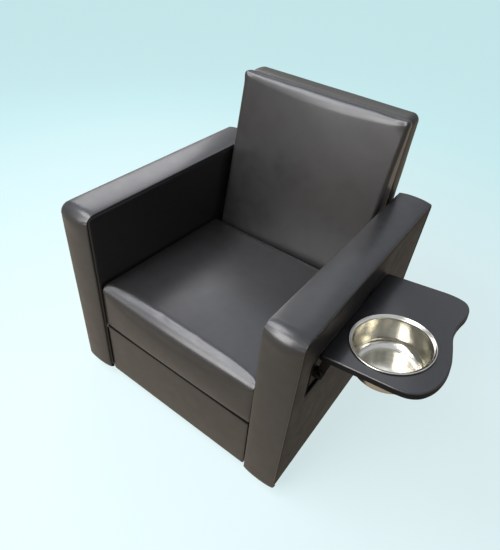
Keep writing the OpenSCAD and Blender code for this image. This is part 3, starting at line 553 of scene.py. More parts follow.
def inside(points: Array, loop: Array) -> Array:
    """Whether each point is inside a closed loop."""
    x, y = points[:, 0], points[:, 1]
    result = np.zeros(len(points), bool)
    for (x0, y0), (x1, y1) in zip(loop, np.roll(loop, -1, axis=0)):
        crosses = (y0 > y) != (y1 > y)
        if y1 != y0:
            result ^= crosses & (x < (x1 - x0) * (y - y0) / (y1 - y0) + x0)
    return result


@dataclass(frozen=True)
class Sheeted:
    """A flat board or padded panel, meshed finely along its edges.

    Attributes:
        outline: Anticlockwise loop of its edge.
        holes: Loops of its openings.
        insets: Distances from the edges at which the mesh has rows.
        spacing: Size of the mesh inside.
    """

    outline: Array
    holes: tuple[Array, ...] = ()
    insets: tuple[float, ...] = (0.8, 2.0, 3.8, 6.5, 10.0)
    spacing: float = 16.0

    def net(self) -> tuple[Array, Array]:
        """Plane points and triangles of the panel."""
        loops = [self.outline, *self.holes]
        points, edges = [], []
        for loop in loops:
            base, count = sum(map(len, points)), len(loop)
            points.append(loop)
            edges += [(base + i, base + (i + 1) % count) for i in range(count)]
        for loop in loops:
            inwards = loop_normals(loop) * (-1 if loop is self.outline else 1)
            for inset in self.insets:
                row = loop + inwards * inset
                clear = np.min([gap_to(row, other) for other in loops], axis=0) > inset * 0.93
                points.append(row[clear])
        low, high = self.outline.min(axis=0), self.outline.max(axis=0)
        xs = np.arange(low[0], high[0], self.spacing)
        ys = np.arange(low[1], high[1], self.spacing)
        lattice = np.array([(x + (j % 2) * self.spacing / 2, y)
                            for j, y in enumerate(ys) for x in xs])
        deep = np.min([gap_to(lattice, loop) for loop in loops], axis=0)
        points.append(lattice[deep > self.insets[-1] + self.spacing * 0.5])
        flat = np.vstack(points)
        flat = flat[self._within(flat, 1e-6) | (np.arange(len(flat)) < sum(map(len, loops)))]
        made = delaunay_2d_cdt([Vector(p) for p in flat], edges, [], 0, 1e-5)
        flat = np.array([tuple(v) for v in made[0]])
        triangles = np.array([f for f in made[2] if len(f) == 3])
        keep = self._within(flat[triangles].mean(axis=1), 0)
        return flat, triangles[keep]

    def _within(self, points: Array, margin: float) -> Array:
        """Whether points are on the panel and not in one of its holes."""
        result = inside(points, self.outline)
        for hole in self.holes:
            result &= ~inside(points, hole) | (gap_to(points, hole) < margin)
        return result

    def body(self, front: Surface, back: Surface) -> Body:
        """Closed body between two surfaces.

        Args:
            front: Height of the front from the points and their distances to edge and holes.
            back: Height of the back from the same.

        Returns:
            Points as plane point and height, and faces.
        """
        flat, triangles = self.net()
        edge = gap_to(flat, self.outline)
        hole = np.full(len(flat), 1e3)
        for loop in self.holes:
            hole = np.minimum(hole, gap_to(flat, loop))
        points = np.vstack([np.column_stack((flat, surface(flat, edge, hole)))
                            for surface in (front, back)])
        count = len(flat)
        faces = [tuple(int(i) for i in t) for t in triangles]
        faces += [tuple(int(i) + count for i in t[::-1]) for t in triangles]
        directed = {(t[i], t[(i + 1) % 3]) for t in triangles.tolist() for i in range(3)}
        rim = [(a, b) for a, b in directed if (b, a) not in directed]
        faces += [(b, a, a + count, b + count) for a, b in sorted(rim)]
        return points, faces


def swept(path: Array, sections: Array, up: Linear) -> Body:
    """Body of sections carried along a path.

    Args:
        path: Points of the path.
        sections: Points of the section at each of them, as [across, up].
        up: Direction that stays up in the sections.

    Returns:
        Points and faces.
    """
    along = unit(np.gradient(path, axis=0))
    across = unit(np.cross(along, np.asarray(up, float)))
    rise = np.cross(across, along)
    return capped_tube(path[:, None] + across[:, None] * sections[:, :, :1]
                       + rise[:, None] * sections[:, :, 1:])


class Workshop:
    """Turns points and faces into pieces of the scene."""

    def __init__(self, drawing: Drawing) -> None:
        """Keeps the drawing frame."""
        self.drawing = drawing

    def mesh(self, name: str, points: Array, faces: Sequence[Face],
             sharp: float = 40.0) -> Piece:
        """Object from drawing points.

        Args:
            name: Name of the object.
            points: Points in drawing millimetres.
            faces: Faces.
            sharp: Angle in degrees over which an edge is sharp.

        Returns:
            The object, at the origin, with its place in its mesh.
        """
        data = bpy.data.meshes.new(name)
        data.from_pydata([tuple(p) for p in self.drawing.metres(points)], [], list(faces))
        self.cleaned(data)
        return self.shaded(self.linked(name, data), sharp)

    @staticmethod
    def cleaned(data: bpy.types.Mesh, merge: float = 0.0) -> None:
        """Merges points closer than a distance in metres, and turns all faces out."""
        work = bmesh.new()
        work.from_mesh(data)
        if merge:
            bmesh.ops.remove_doubles(work, verts=work.verts[:], dist=merge)
        bmesh.ops.recalc_face_normals(work, faces=work.faces[:])
        work.to_mesh(data)
        work.free()

    @staticmethod
    def linked(name: str, data: bpy.types.ID) -> Piece:
        """New object in the scene with the given mesh, lamp or camera."""
        made = bpy.data.objects.new(name, data)
        bpy.context.scene.collection.objects.link(made)
        return made

    @staticmethod
    def shaded(piece: Piece, sharp: float) -> Piece:
        """Shades a piece smooth, with sharp edges over an angle in degrees."""
        piece.data.shade_smooth()
        piece.data.set_sharp_from_angle(angle=math.radians(sharp))
        return piece

    def dress(self, piece: Piece, finish: Finish, body: str,
              replaces: Sequence[str] = (), fill: float | None = None,
              slot: str | None = None) -> None:
        """Gives a piece its finish and its place in the motion.

        Args:
            piece: The piece.
            finish: Its finish.
            body: CAD body that it moves with.
            replaces: CAD nodes that it stands for.
            fill: Fullness of a padded piece; not used.
            slot: Not used.
        """
        piece.data.materials.clear()
        piece.data.materials.append(finish.material())
        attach(piece, body)
        if replaces:
            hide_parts(*replaces)
        LOG.info("%s: %d points, %s", piece.name, len(piece.data.vertices), finish.name)

    @staticmethod
    def second_finish(piece: Piece, finish: Finish, chosen: Array) -> None:
        """Gives another finish to the faces whose points are all chosen."""
        piece.data.materials.append(finish.material())
        for face in piece.data.polygons:
            if all(chosen[i] for i in face.vertices):
                face.material_index = 1


# ---------------------------------------------------------------- padded strips and panels


@dataclass(frozen=True)
class Strip:
    """A padded strip that wraps round a form, between two seams.

    Attributes:
        outer: Path of its middle, in the form's plane.
        seam: Path of its seams, point for point with the outer one.
        half: Half its width.
        power: Squareness of its section's far edge.
        near_power: Squareness of its near edge.
        shoulder: Share of its height that the edges take up.
        lining: Depth of its flat inner side below the outer path.
    """

    outer: Array
    seam: Array
    half: float
    power: float = 4.4
    near_power: float = 4.4
    shoulder: float = 0.5
    lining: float = 7.8

    def section(self) -> Array:
        """Half widths and shares of the way from the seam path to the outer one."""
        angles = np.linspace(0, math.pi, 41)
        power = 2 / np.where(np.cos(angles) > 0, self.power, self.near_power)
        across = self.half * np.sign(np.cos(angles)) * np.abs(np.cos(angles)) ** power
        edge = np.abs(np.sin(angles)) ** power
        crown = (1 - (across / self.half) ** 2) * edge
        rise = self.shoulder * edge + (1 - self.shoulder) * crown
        tuck = [[self.half - 1.6, -0.12], [self.half - 0.5, -0.05]]
        middle = np.column_stack((across, rise))
        return np.vstack((tuck, middle, [[-x, s] for x, s in reversed(tuck)]))

    def from_seam(self, across: Array) -> Array:
        """Distance from the nearer seam, with the depth of the gutter beside it."""
        return self.half - np.abs(across) + 3

    def rings(self, swell: Surface) -> Array:
        """Rings of the strip as [along plane x, along plane y, across].

        Args:
            swell: Extra height from station, width and share of the rise.

        Returns:
            Array of station, point and axis.
        """
        section = self.section()
        along = np.gradient(self.outer, axis=0)
        out = unit(np.column_stack((-along[:, 1], along[:, 0])))
        near, far = self.half - 3, self.half - 15
        rings = []
        for i, (seam, outer, way) in enumerate(zip(self.seam, self.outer, out)):
            extra = swell(np.full(len(section), i), section[:, 0], section[:, 1])
            skin = seam + (outer - seam) * section[:, 1:] + way * extra[:, None]
            top = np.column_stack((skin, section[:, 0]))
            floor, hem = outer - way * self.lining, seam - way * 0.8
            inner = [(hem, -near), (floor, -far), (floor, far), (hem, near)]
            rings.append(np.vstack((top, [[*p, c] for p, c in inner])))
        return np.array(rings)


@dataclass(frozen=True)
class Scallop:
    """Small hollows that a seam draws into a padded cover.

    Attributes:
        pitch: Length of one hollow.
        depth: Depth at the seam.
        reach: Distance at which they fade.
    """

    pitch: float
    depth: float
    reach: float

    def at(self, along: Array, from_seam: Array) -> Array:
        """Height, zero or less, from the length along the seam and the distance from it."""
        wave = 0.5 - 0.5 * np.cos(2 * np.pi * along / self.pitch)
        return -self.depth * wave * np.exp(-from_seam / self.reach)


PUCKERS = Scallop(13, 1.5, 12)
STITCHES = Scallop(21, 0.18, 7)
BOXING_STITCHES = Scallop(24, 0.25, 8)


def path_length(path: Array) -> Array:
    """Length along a path at each of its points."""
    steps = np.linalg.norm(np.diff(path, axis=0), axis=1)
    return np.concatenate(([0.0], np.cumsum(steps)))


def level(height: float) -> Surface:
    """Flat surface at a height."""
    return lambda flat, edge, hole: np.full(len(flat), height)


@dataclass
class Assembly:
    """A sub-assembly, with the workshop that makes its pieces."""

    shop: Workshop

    def welt(self, name: str, path: Array, radius: float) -> None:
        """Builds the folded ridge of a seam that runs in a side view, pinched by its stitches.

        Args:
            name: Name of the piece.
            path: Points along the seam in drawing millimetres.
            radius: Radius of the ridge.
        """
        spacing, stitch, sideways = 2.2, 6.6, (1, 0, 0)
        length = path_length(path)
        fine = np.arange(0, length[-1], spacing)
        fine_path = np.column_stack([np.interp(fine, length, path[:, k]) for k in range(3)])
        angles = np.linspace(0, 2 * np.pi, 8, endpoint=False)
        ring = np.column_stack((np.cos(angles), np.sin(angles)))
        pinch = 1 - 0.1 * (0.5 - 0.5 * np.cos(2 * np.pi * fine / stitch))
        sections = ring[None] * radius * pinch[:, None, None]
        piece = self.shop.mesh(name, *swept(fine_path, sections, sideways), CUSHION_SHARP)
        # The ridge is dressed in the lighter leather: a painted highlight along the seam.
        self.shop.dress(piece, WELT_HIGHLIGHT, "root", slot=LEATHER.name)


@dataclass
class Arm(Assembly):
    """One padded arm: a band over front, top and rear between two flat side panels."""

    side: Side
    inner_x: float = 280
    width: float = 102
    depth: float = 750
    base: float = 25
    top: float = 635
    corner: float = 42
    rear_corner: float = 27
    seam_inset: float = 7.5
    seam_corner: float = 22
    rear_seam_corner: float = 15
    hem: float = 14
    panel_t: float = 14
    welt_r: float = 1.5
    gutter: float = 3.8
    dip: float = 6
    recess_low: tuple[float, float] = (75, 391)
    recess_high: tuple[float, float] = (455, 512)
    lip: float = 7
    turn_reach: float = 46

    def _view(self, inset: float, corner: float, rear: float) -> Array:
        """Side view path from the front's lower edge over the top to the rear's lower edge."""
        y0, y1 = inset, self.depth - inset
        z1 = self.top - inset
        hem = self.hem
        return np.vstack((
            arc((y0 + hem, self.base + hem), hem, 270, 180, 4),
            line((y0, self.base + hem), (y0, z1 - corner), 60),
            arc((y0 + corner, z1 - corner), corner, 180, 90, 18),
            line((y0 + corner, z1), (y1 - rear, z1), 72),
            arc((y1 - rear, z1 - rear), rear, 90, 0, 18),
            line((y1, z1 - rear), (y1, self.base + hem), 60),
            arc((y1 - hem, self.base + hem), hem, 0, -90, 4),
            [(y1 - hem, self.base)],
        ))

    def _placed(self, plane: Array, across: Array) -> Array:
        """Drawing points from side view points and distance from the arm's middle."""
        middle = self.inner_x + self.width / 2
        x = self.side.value * (middle + across)
        return np.column_stack((x, plane))

    def _titled(self, outer: bool) -> tuple[int, str]:
        """Sign of the way from the arm's middle to one of its panels, and how its names start."""
        way, word = (1, "outer") if outer else (-1, "inner")
        return way, f"{self.side.word}_arm_{word}"

    def band(self) -> None:
        """Builds the padded band."""
        strip = Strip(self._view(0, self.corner, self.rear_corner),
                      self._view(self.seam_inset, self.seam_corner, self.rear_seam_corner),
                      self.width / 2)
        along = path_length(strip.outer)
        # Lengths along the band, from its front lower edge, at which its two corners turn.
        height = self.top - self.base
        front_turn = height - self.corner + 27
        rear_turn = along[-1] - (height - self.rear_corner + 15)
        wander = Ripple(11 + self.side.value, 150)
        fine = Ripple(21 + self.side.value, 34)

        def swell(station: Array, across: Array, share: Array) -> Array:
            s = along[station]
            from_seam = strip.from_seam(across)
            near_front = np.exp(-((s - front_turn) / self.turn_reach) ** 2)
            near_rear = np.exp(-((s - rear_turn) / self.turn_reach) ** 2)
            near_turn = near_front + near_rear
            spot = np.column_stack((across, s))
            soft = share * (0.5 * wander.on(spot) + 0.06 * fine.on(spot))
            middle = 1 - (across / strip.half) ** 2
            puff = (5.0 * near_front + 1.5 * near_rear) * np.clip(share, 0, 1) * middle
            pucker = PUCKERS.at(s + 3 * np.sign(across), from_seam) * near_turn
            return soft + puff + pucker + STITCHES.at(s, from_seam)

        rings = strip.rings(swell)
        flat = rings.reshape(-1, 3)
        points, faces = capped_tube(self._placed(flat[:, :2], flat[:, 2]).reshape(rings.shape))
        title = f"{self.side.word}_arm_band"
        piece = self.shop.mesh(title + "_cover", points, faces, STRIP_SHARP)
        self.shop.dress(piece, LEATHER, "root", [title], fill=0.8)

    def panel(self, outer: bool) -> None:
        """Builds one side panel.

        Args:
            outer: True for the side away from the seat.
        """
        inset = self.seam_inset + self.gutter
        corner = self.seam_corner - self.gutter
        rear = self.rear_seam_corner - self.gutter
        loop = round_loop((inset, self.base + 1), (self.depth - inset, self.top - inset),
                          (self.hem, self.hem, rear, corner), 9)
        recess = round_loop(self.recess_low, self.recess_high, (5, 5, 5, 5), 7)
        holes = (recess,) if outer and self.side is Side.RIGHT else ()
        soft = Ripple(31 + 2 * self.side.value + outer, 190)
        crown = 1.6 if outer else 0.3

        def front(flat: Array, edge: Array, hole: Array) -> Array:
            rise = 1 - np.exp(-edge / 3)
            belly = np.clip(edge / 120, 0, 1) * np.clip(hole / 60, 0, 1)
            turned = np.clip(1 - hole / self.lip, 0, 1)
            rolled = -self.lip * (1 - np.sqrt(np.clip(1 - turned ** 2, 0, 1)))
            return -self.dip * (1 - rise) + crown * belly + 0.25 * soft.on(flat) * belly + rolled

        points, faces = Sheeted(loop, holes).body(front, level(-self.panel_t + 0.3))
        way, title = self._titled(outer)
        placed = self._placed(points[:, :2], way * (self.width / 2 + points[:, 2]))
        piece = self.shop.mesh(title + "_cover", placed, faces, PANEL_SHARP)
        finish = LEATHER_SIDE if outer else LEATHER
        self.shop.dress(piece, finish, "root", [title + "_panel"], fill=0.7, slot=LEATHER.name)

    def seam(self, outer: bool) -> None:
        """Builds the ridge of the seam between the band and one side panel."""
        plane = self._view(self.seam_inset + 0.9, self.seam_corner - 0.9,
                           self.rear_seam_corner - 0.9)
        way, title = self._titled(outer)
        path = self._placed(plane, np.full(len(plane), way * (self.width / 2 - 1)))
        self.welt(title + "_welt", path, self.welt_r)

    def build(self) -> None:
        """Builds the arm's covers and seams."""
        self.band()
        for outer in (False, True):
            self.panel(outer)
            self.seam(outer)


# ---------------------------------------------------------------- cushions


@dataclass(frozen=True)
class Stuffing:
    """Cloth simulation that blows a sewn cover up over its foam.

    Attributes:
        cap: Furthest move along x, y and z in millimetres.
        pressure: Pressure of the stuffing.
        frames: Steps of the simulation.
    """

    cap: Linear
    pressure: float = 4.0
    frames: int = 20

    @staticmethod
    def bake(piece: Piece) -> None:
        """Applies a piece's modifiers to its mesh."""
        graph = bpy.context.evaluated_depsgraph_get()
        data = bpy.data.meshes.new_from_object(piece.evaluated_get(graph))
        piece.modifiers.clear()
        old = piece.data
        piece.data = data
        bpy.data.meshes.remove(old)

    @staticmethod
    def points(piece: Piece) -> Array:
        """Points of a piece in metres."""
        found = np.empty(len(piece.data.vertices) * 3)
        piece.data.vertices.foreach_get("co", found)
        return found.reshape(-1, 3)

    def blow(self, piece: Piece, held: Array) -> None:
        """Blows the cover up, holding some points, and caps how far any point moves.

        Args:
            piece: Sewn cover.
            held: Weight from 0, free, to 1, held, for each point.
        """
        rest = self.points(piece)
        group = piece.vertex_groups.new(name="held")
        weights = np.round(held, 1)
        for weight in np.unique(weights[weights > 0]):
            group.add(np.nonzero(weights == weight)[0].tolist(), float(weight), "REPLACE")
        cloth = piece.modifiers.new("stuffing", "CLOTH")
        settings = cloth.settings
        settings.quality = 5
        settings.mass = 0.3
        settings.use_pressure = True
        settings.uniform_pressure_force = self.pressure
        settings.vertex_group_mass = "held"
        settings.effector_weights.gravity = 0
        cloth.point_cache.frame_start = 1
        cloth.point_cache.frame_end = self.frames
        for step in range(1, self.frames + 1):
            bpy.context.scene.frame_set(step)
        self.bake(piece)
        bpy.context.scene.frame_set(1)
        moved = self.points(piece) - rest
        cap = np.array(self.cap) * MM
        piece.data.vertices.foreach_set("co", (rest + cap * np.tanh(moved / cap)).ravel())
        piece.data.update()
        piece.vertex_groups.clear()
        LOG.info("%s: stuffed, moved up to %.1f mm", piece.name, np.abs(moved).max() / MM)

    def finer(self, piece: Piece) -> None:
        """Applies one subdivision."""
        detail = piece.modifiers.new("finer", "SUBSURF")
        detail.levels = detail.render_levels = 1
        self.bake(piece)


def across_stations(half: float, edge: float, step: float) -> Array:
    """Places across a cushion, close together where its side edges turn."""
    turn = half - edge + edge * np.sin(np.radians(np.linspace(0, 90, 7)))
    middle = np.linspace(-half + edge, half - edge, int(2 * (half - edge) / step))
    return np.concatenate((-turn[:0:-1], middle, turn[1:]))


def edge_turn(x: float, half: float, radius: float) -> float:
    """How far a round side edge has turned in at x."""
    over = max(0.0, abs(x) - half + radius)
    return radius - math.sqrt(max(0.0, radius ** 2 - over ** 2))


@dataclass
class Cushion(Assembly):
    """Sizes and work that the seat's and the back's cushions share.

    Attributes:
        half: Half its width.
        base: Height of its lower edge.
        top: Height of its upper edge.
        front: Depth of its front, or of the back's frame behind it.
        fall: Drop of its upper side from the middle's height.
        crown: Rise of its middle.
        edge: Radius of its side edges.
        roll: Radius of its roll in the middle.
        roll_end: Radius of its roll at the sides.
        back_foot: Depth and height of the back's lower front edge.
        slope: Slope of the back's front face.
        grid: Distance between its points across.
    """

    half: float
    base: float
    top: float
    front: float
    fall: float
    crown: float = 7
    edge: float = 7
    roll: float = 20
    roll_end: float = 20
    back_foot: tuple[float, float] = (532, 262)
    slope: float = 0.1902
    grid: float = 9

    def ring(self, x: float) -> Array:
        """Side view of the cushion at x."""
        raise NotImplementedError

    def stations(self) -> tuple[Array, Array]:
        """Places across the cushion, and the ring of points at each."""
        places = across_stations(self.half, self.edge, self.grid)
        return places, np.array([self.ring(x) for x in places])

    def forms(self, x: float) -> Linear:
        """Fullness, rise of the middle and radius of the roll at x."""
        full = 1 - (abs(x) / self.half) ** 2.6
        rise = self.crown * (1 - (x / self.half) ** 2)
        return full, rise, self.roll_end + (self.roll - self.roll_end) * full

    def stuffed(self, name: str, rings: Array, held: Array,
                cap: Linear) -> tuple[Piece, Array]:
        """Builds the cover and blows it up.

        Args:
            name: Name of the piece.
            rings: Its rings of points.
            held: Weight from 0, free, to 1, held, for each point.
            cap: Furthest move along x, y and z in millimetres.

        Returns:
            The piece, and its points in drawing millimetres.
        """
        piece = self.shop.mesh(name, *capped_tube(rings), CUSHION_SHARP)
        stuffing = Stuffing(cap)
        stuffing.blow(piece, held)
        stuffing.finer(piece)
        return piece, self.shop.drawing.millimetres(stuffing.points(piece))

    def settle(self, piece: Piece, place: Array) -> None:
        """Puts the cover's points where they belong, in drawing millimetres, and shades it."""
        piece.data.vertices.foreach_set("co", self.shop.drawing.metres(place).ravel())
        self.shop.shaded(piece, CUSHION_SHARP)


@dataclass
class Seat(Cushion):
    """The seat cushion: one cover over front and top, sewn to its sides."""

    half: float = 277
    base: float = 240.3
    top: float = 394
    front: float = 12
    fall: float = 16
    roll: float = 40
    lean: float = 1.2
    low_r: float = 5
    rear_r: float = 14
    rear_gap: float = 7.5
    bulge: float = 4

    def ring(self, x: float) -> Array:
        """Side view of the cushion at x, from the lower rear round the front."""
        turned = edge_turn(x, self.half, self.edge)
        full, rise, roll = self.forms(x)
        front = self.front + turned + 3 * (1 - full)
        top = self.top - turned
        gap = self.rear_gap + turned / 2
        rear_top = top - self.fall

        def rear_y(z: float) -> float:
            return self.back_foot[0] + (z - self.back_foot[1]) * self.slope - gap

        low, rear = self.low_r, self.rear_r
        y0, y1 = front + self.lean * roll, rear_y(rear_top - rear) - rear
        shares = np.linspace(0, 1, 13)[1:-1]
        bulge = self.bulge * full * np.sin(math.pi * shares)
        z0, z1 = self.base + low, top - roll
        face = np.column_stack((front - bulge, z0 + (z1 - z0) * shares))
        run = np.linspace(0, 1, 58)[1:-1]
        seat_top = np.column_stack((y0 + (y1 - y0) * run,
                                    top - self.fall * run + rise * np.sin(math.pi * run)))
        side = np.vstack((
            line((rear_y(self.base), self.base), (front + low, self.base), 30),
            arc((front + low, self.base + low), low, 270, 180, 5),
            [(front, z0)], face,
            arc((0, 0), roll, 180, 90, 14) * (self.lean, 1) + (y0, z1), [(y0, top)], seat_top,
            arc((y1, rear_top - rear), rear, 90, 0, 5),
            line((rear_y(rear_top - rear), rear_top - rear), (rear_y(self.base), self.base), 14),
        ))
        return np.column_stack((np.full(len(side), x), side))

    def build(self) -> None:
        """Builds the seat's cushion and its seams."""
        _, rings = self.stations()
        points = rings.reshape(-1, 3)
        held = np.maximum(np.clip((self.base + 16 - points[:, 2]) / 10, 0, 1),
                          (np.abs(points[:, 0]) > self.half - 0.5).astype(float))
        # A higher cap lets the simulation dent the front roll.
        piece, place = self.stuffed("seat_cushion_cover", rings, held, (0.6, 1.2, 1.5))
        loose = np.clip((place[:, 2] - self.base - 30) / 60, 0, 1)
        place[:, 2] += loose * (0.6 * Ripple(3, 210).at(place) + 0.05 * Ripple(4, 60).at(place))
        self.settle(piece, place)
        self.shop.dress(piece, LEATHER, "root", ["seat_cushion"], fill=0.8)
        self._welts(rings)

    def _welts(self, rings: Array) -> None:
        """Builds the seams at the seat's sides, over its front and its top."""
        under, behind = 34, 16
        for side in Side:
            path = rings[-1 if side is Side.RIGHT else 0][under:-behind].copy()
            path[:, 0] = side.value * (self.half - 1.2)
            self.welt(f"seat_{side.word}_welt", path, 1.3)


@dataclass
class RearPad(Assembly):
    """A thin padded panel that faces the rear.

    Attributes:
        name: Name of the piece.
        node: CAD node that it stands for.
        body: CAD body that it moves with.
        loop: Its edge as [x, z].
        rear: Depth of its rear face.
        thick: How far its flat inner side lies before that.
        crown: Rise of its middle.
        reach: Distance from the edge at which it is full.
        soft: Unevenness of its face.
        fill: Its fullness.
    """

    name: str
    node: str
    body: str
    loop: Array
    rear: float
    thick: float
    crown: float
    reach: float
    soft: Ripple
    fill: float

    def build(self) -> None:
        """Builds the panel."""
        def front(flat: Array, edge: Array, hole: Array) -> Array:
            belly = np.clip(edge / self.reach, 0, 1)
            face = belly * (self.crown + 0.4 * self.soft.on(flat))
            return -3 + 3 * (1 - np.exp(-edge / 4)) + face

        points, faces = Sheeted(self.loop).body(front, level(-self.thick))
        placed = np.column_stack((points[:, 0], self.rear + points[:, 2], points[:, 1]))
        piece = self.shop.mesh(self.name, placed, faces, PANEL_SHARP)
        self.shop.dress(piece, LEATHER_REAR, self.body, [self.node], fill=self.fill)


@dataclass
class Back(Cushion):
    """The back: a wedge-shaped cushion, the boxing round its frame and the rear panel."""

    half: float = 271.5
    base: float = 262
    top: float = 872
    front: float = 673
    fall: float = 34
    edge: float = 12
    roll_end: float = 7
    rear: float = 735
    corner: float = 24
    pull_in: float = 8
    round_top: float = 16

    def build(self) -> None:
        """Builds the back's covers."""
        self._cushion()
        self._boxing()
        self._rear_panel()

    def ring(self, x: float) -> Array:
        """Side view of the cushion at x, from the lower rear forwards, up and back."""
        turned = edge_turn(x, self.half, self.edge)
        full, rise, roll = self.forms(x)
        ear = edge_turn(x, self.half, self.round_top)
        base, top = self.base + 0.3, self.top - 3 - max(turned, ear)
        low, end_fall = 10, 0.35
        z0, z1 = base + low, top - self.fall * (end_fall + (1 - end_fall) * full)

        def face_y(z: float) -> float:
            return self.back_foot[0] + (z - self.base) * self.slope + turned

        shares = np.linspace(0, 1, 64)[1:-1]
        heights = z0 + (z1 - z0) * shares
        puff = rise * np.sin(math.pi * shares) * (1 - 0.6 * shares)
        face = np.array([(face_y(z) - p, z) for z, p in zip(heights, puff)])
        crest = arc((0, 0), 1, 180, 90, 12) * (roll, top - z1)
        crest[:, 0] += self.slope * crest[:, 1]
        crest += (face_y(z1) + roll, z1)
        side = np.vstack((
            line((self.front, base), (face_y(z0) + low, base), 12),
            arc((face_y(z0) + low, z0), low, 270, 180, 6),
            [(face_y(z0), z0)], face, crest,
            line(crest[-1], (self.front - 4, top), 3),
            arc((self.front - 4, top - 4), 4, 90, 0, 4),
            line((self.front, top - 4), (self.front, base), 20),
        ))
        risen = (side[:, 1] - self.base) / (self.top - self.base)
        draw = 1 - self.pull_in / self.half * (1 - risen)
        return np.column_stack((x * draw, side))

    def _cushion(self) -> None:
        """Builds the puffed front cushion with its two sewn top corners."""
        places, rings = self.stations()
        depth = rings.reshape(-1, 3)[:, 1]
        held = np.maximum(np.clip((depth - self.front + 16) / 10, 0, 1),
                          np.repeat(np.abs(places) > self.half - 0.5, rings.shape[1]))
        # The simulation runs here but moves nothing: this cushion's puff is its ring's own.
        piece, place = self.stuffed("back_cushion_cover", rings, held, (1.5, 8.0, 3.0))
        ear_size = 13.0
        for side in Side:
            ear = np.array((side.value * (self.half - 5), self.front - 20, self.top - 8))
            near = np.exp(-((place - ear) ** 2).sum(axis=1) / (2 * ear_size ** 2))[:, None]
            place += near * np.array((side.value * 2.5, -3.0, 3.5))
        loose = np.clip((self.front - 14 - place[:, 1]) / 30, 0, 1)
        place[:, 1] -= loose * (0.6 * Ripple(5, 230).at(place) + 0.05 * Ripple(6, 60).at(place))
        upper = np.clip((place[:, 2] - self.top + 30) / 25, 0, 1)
        place[:, 2] += upper * 0.9 * Ripple(7, 120).at(place * (1, 0, 0))
        place[:, 1] = np.minimum(place[:, 1], self.front - 0.3)
        self.settle(piece, place)
        self.shop.dress(piece, LEATHER, "backrest", ["back_cushion"], fill=0.9)

    def _view(self, inset: float, corner: float) -> Array:
        """Front view path from the left lower edge over the top to the right lower edge."""
        x1 = self.half - inset
        z1 = self.top - inset
        return np.vstack((
            line((-x1, self.base), (-x1, z1 - corner), 60),
            arc((-x1 + corner, z1 - corner), corner, 180, 90, 14),
            line((-x1 + corner, z1), (x1 - corner, z1), 56),
            arc((x1 - corner, z1 - corner), corner, 90, 0, 14),
            line((x1, z1 - corner), (x1, self.base), 60),
            [(x1, self.base)],
        ))

    def _boxing(self) -> None:
        """Builds the padded strip round the back's frame."""
        strip = Strip(self._view(0, self.corner), self._view(7, 17), (self.rear - self.front) / 2,
                      power=3.6, near_power=4.0, shoulder=0.7, lining=16.0)
        along = path_length(strip.outer)
        wander = Ripple(41, 120)

        def swell(station: Array, across: Array, share: Array) -> Array:
            s = along[station]
            soft = 0.6 * wander.on(np.column_stack((across, s)))
            return share * soft + BOXING_STITCHES.at(s, strip.from_seam(across))

        rings = strip.rings(swell)
        flat = rings.reshape(-1, 3)
        middle = (self.front + self.rear) / 2
        placed = np.column_stack((flat[:, 0], middle + flat[:, 2], flat[:, 1]))
        points, faces = capped_tube(placed.reshape(rings.shape))
        piece = self.shop.mesh("back_boxing_cover", points, faces, STRIP_SHARP)
        self.shop.dress(piece, LEATHER_REAR, "backrest", ["back_boxing"], fill=0.7)

    def _rear_panel(self) -> None:
        """Builds the padded panel on the back's rear."""
        loop = round_loop((-self.half + 11, self.base + 1), (self.half - 11, self.top - 11),
                          (4, 4, 15, 15), 10)
        RearPad(self.shop, "back_rear_cover", "back_rear_panel", "backrest", loop,
                rear=self.rear - 2, thick=10.8, crown=1.2, reach=100, soft=Ripple(43, 180),
                fill=0.6).build()


@dataclass
class LegRest(Assembly):
    """The upholstered leg rest that hangs under the seat's front, hollow where its levers lie."""

    half: float = 272
    low: float = 27
    high: float = 236
    face: float = 12
    rear: float = 34
    lever_x: float = 254.5
    lever_reach: float = 132
    skin: float = 3.5
    roll: float = 5

    def build(self) -> None:
        """Builds the leg rest's pad, with a near-black strip of painted shade where it turns in at
        the top.
        """
        loop = round_loop((-self.half, self.low), (self.half, self.high), (7, 7, 4, 4), 9)
        soft = Ripple(61, 160)

        def rolled(flat: Array) -> Array:
            over = np.clip(self.roll - (self.high - flat[:, 1]), 0, self.roll)
            return self.roll - np.sqrt(self.roll ** 2 - over ** 2)

        def front(flat: Array, edge: Array, hole: Array) -> Array:
            belly = np.clip(edge / 70, 0, 1) * (1.4 + 0.4 * soft.on(flat))
            return -np.maximum(rolled(flat), 3.0 * np.exp(-edge / 2.6)) + belly

        def back(flat: Array, edge: Array, hole: Array) -> Array:
            depth = self.rear - self.face - 0.3
            by_lever = (np.abs(flat[:, 0]) > self.lever_x) & (flat[:, 1] > self.lever_reach)
            return -np.where(by_lever, np.minimum(self.skin + rolled(flat), depth), depth)

        points, faces = Sheeted(loop, spacing=11).body(front, back)
        placed = np.column_stack((points[:, 0], self.face + 1.5 - points[:, 2], points[:, 1]))
        piece = self.shop.mesh("legrest_cover", placed, faces, PANEL_SHARP)
        self.shop.dress(piece, LEATHER, "legrest", ["legrest_pad"], fill=0.5)
        # The top roll gets painted shade: a near-black strip for the gap under the seat.
        self.shop.second_finish(piece, LEGREST_SHADE_LINE, placed[:, 2] > self.high - self.roll + 0.5)


# ---------------------------------------------------------------- tray and bowl


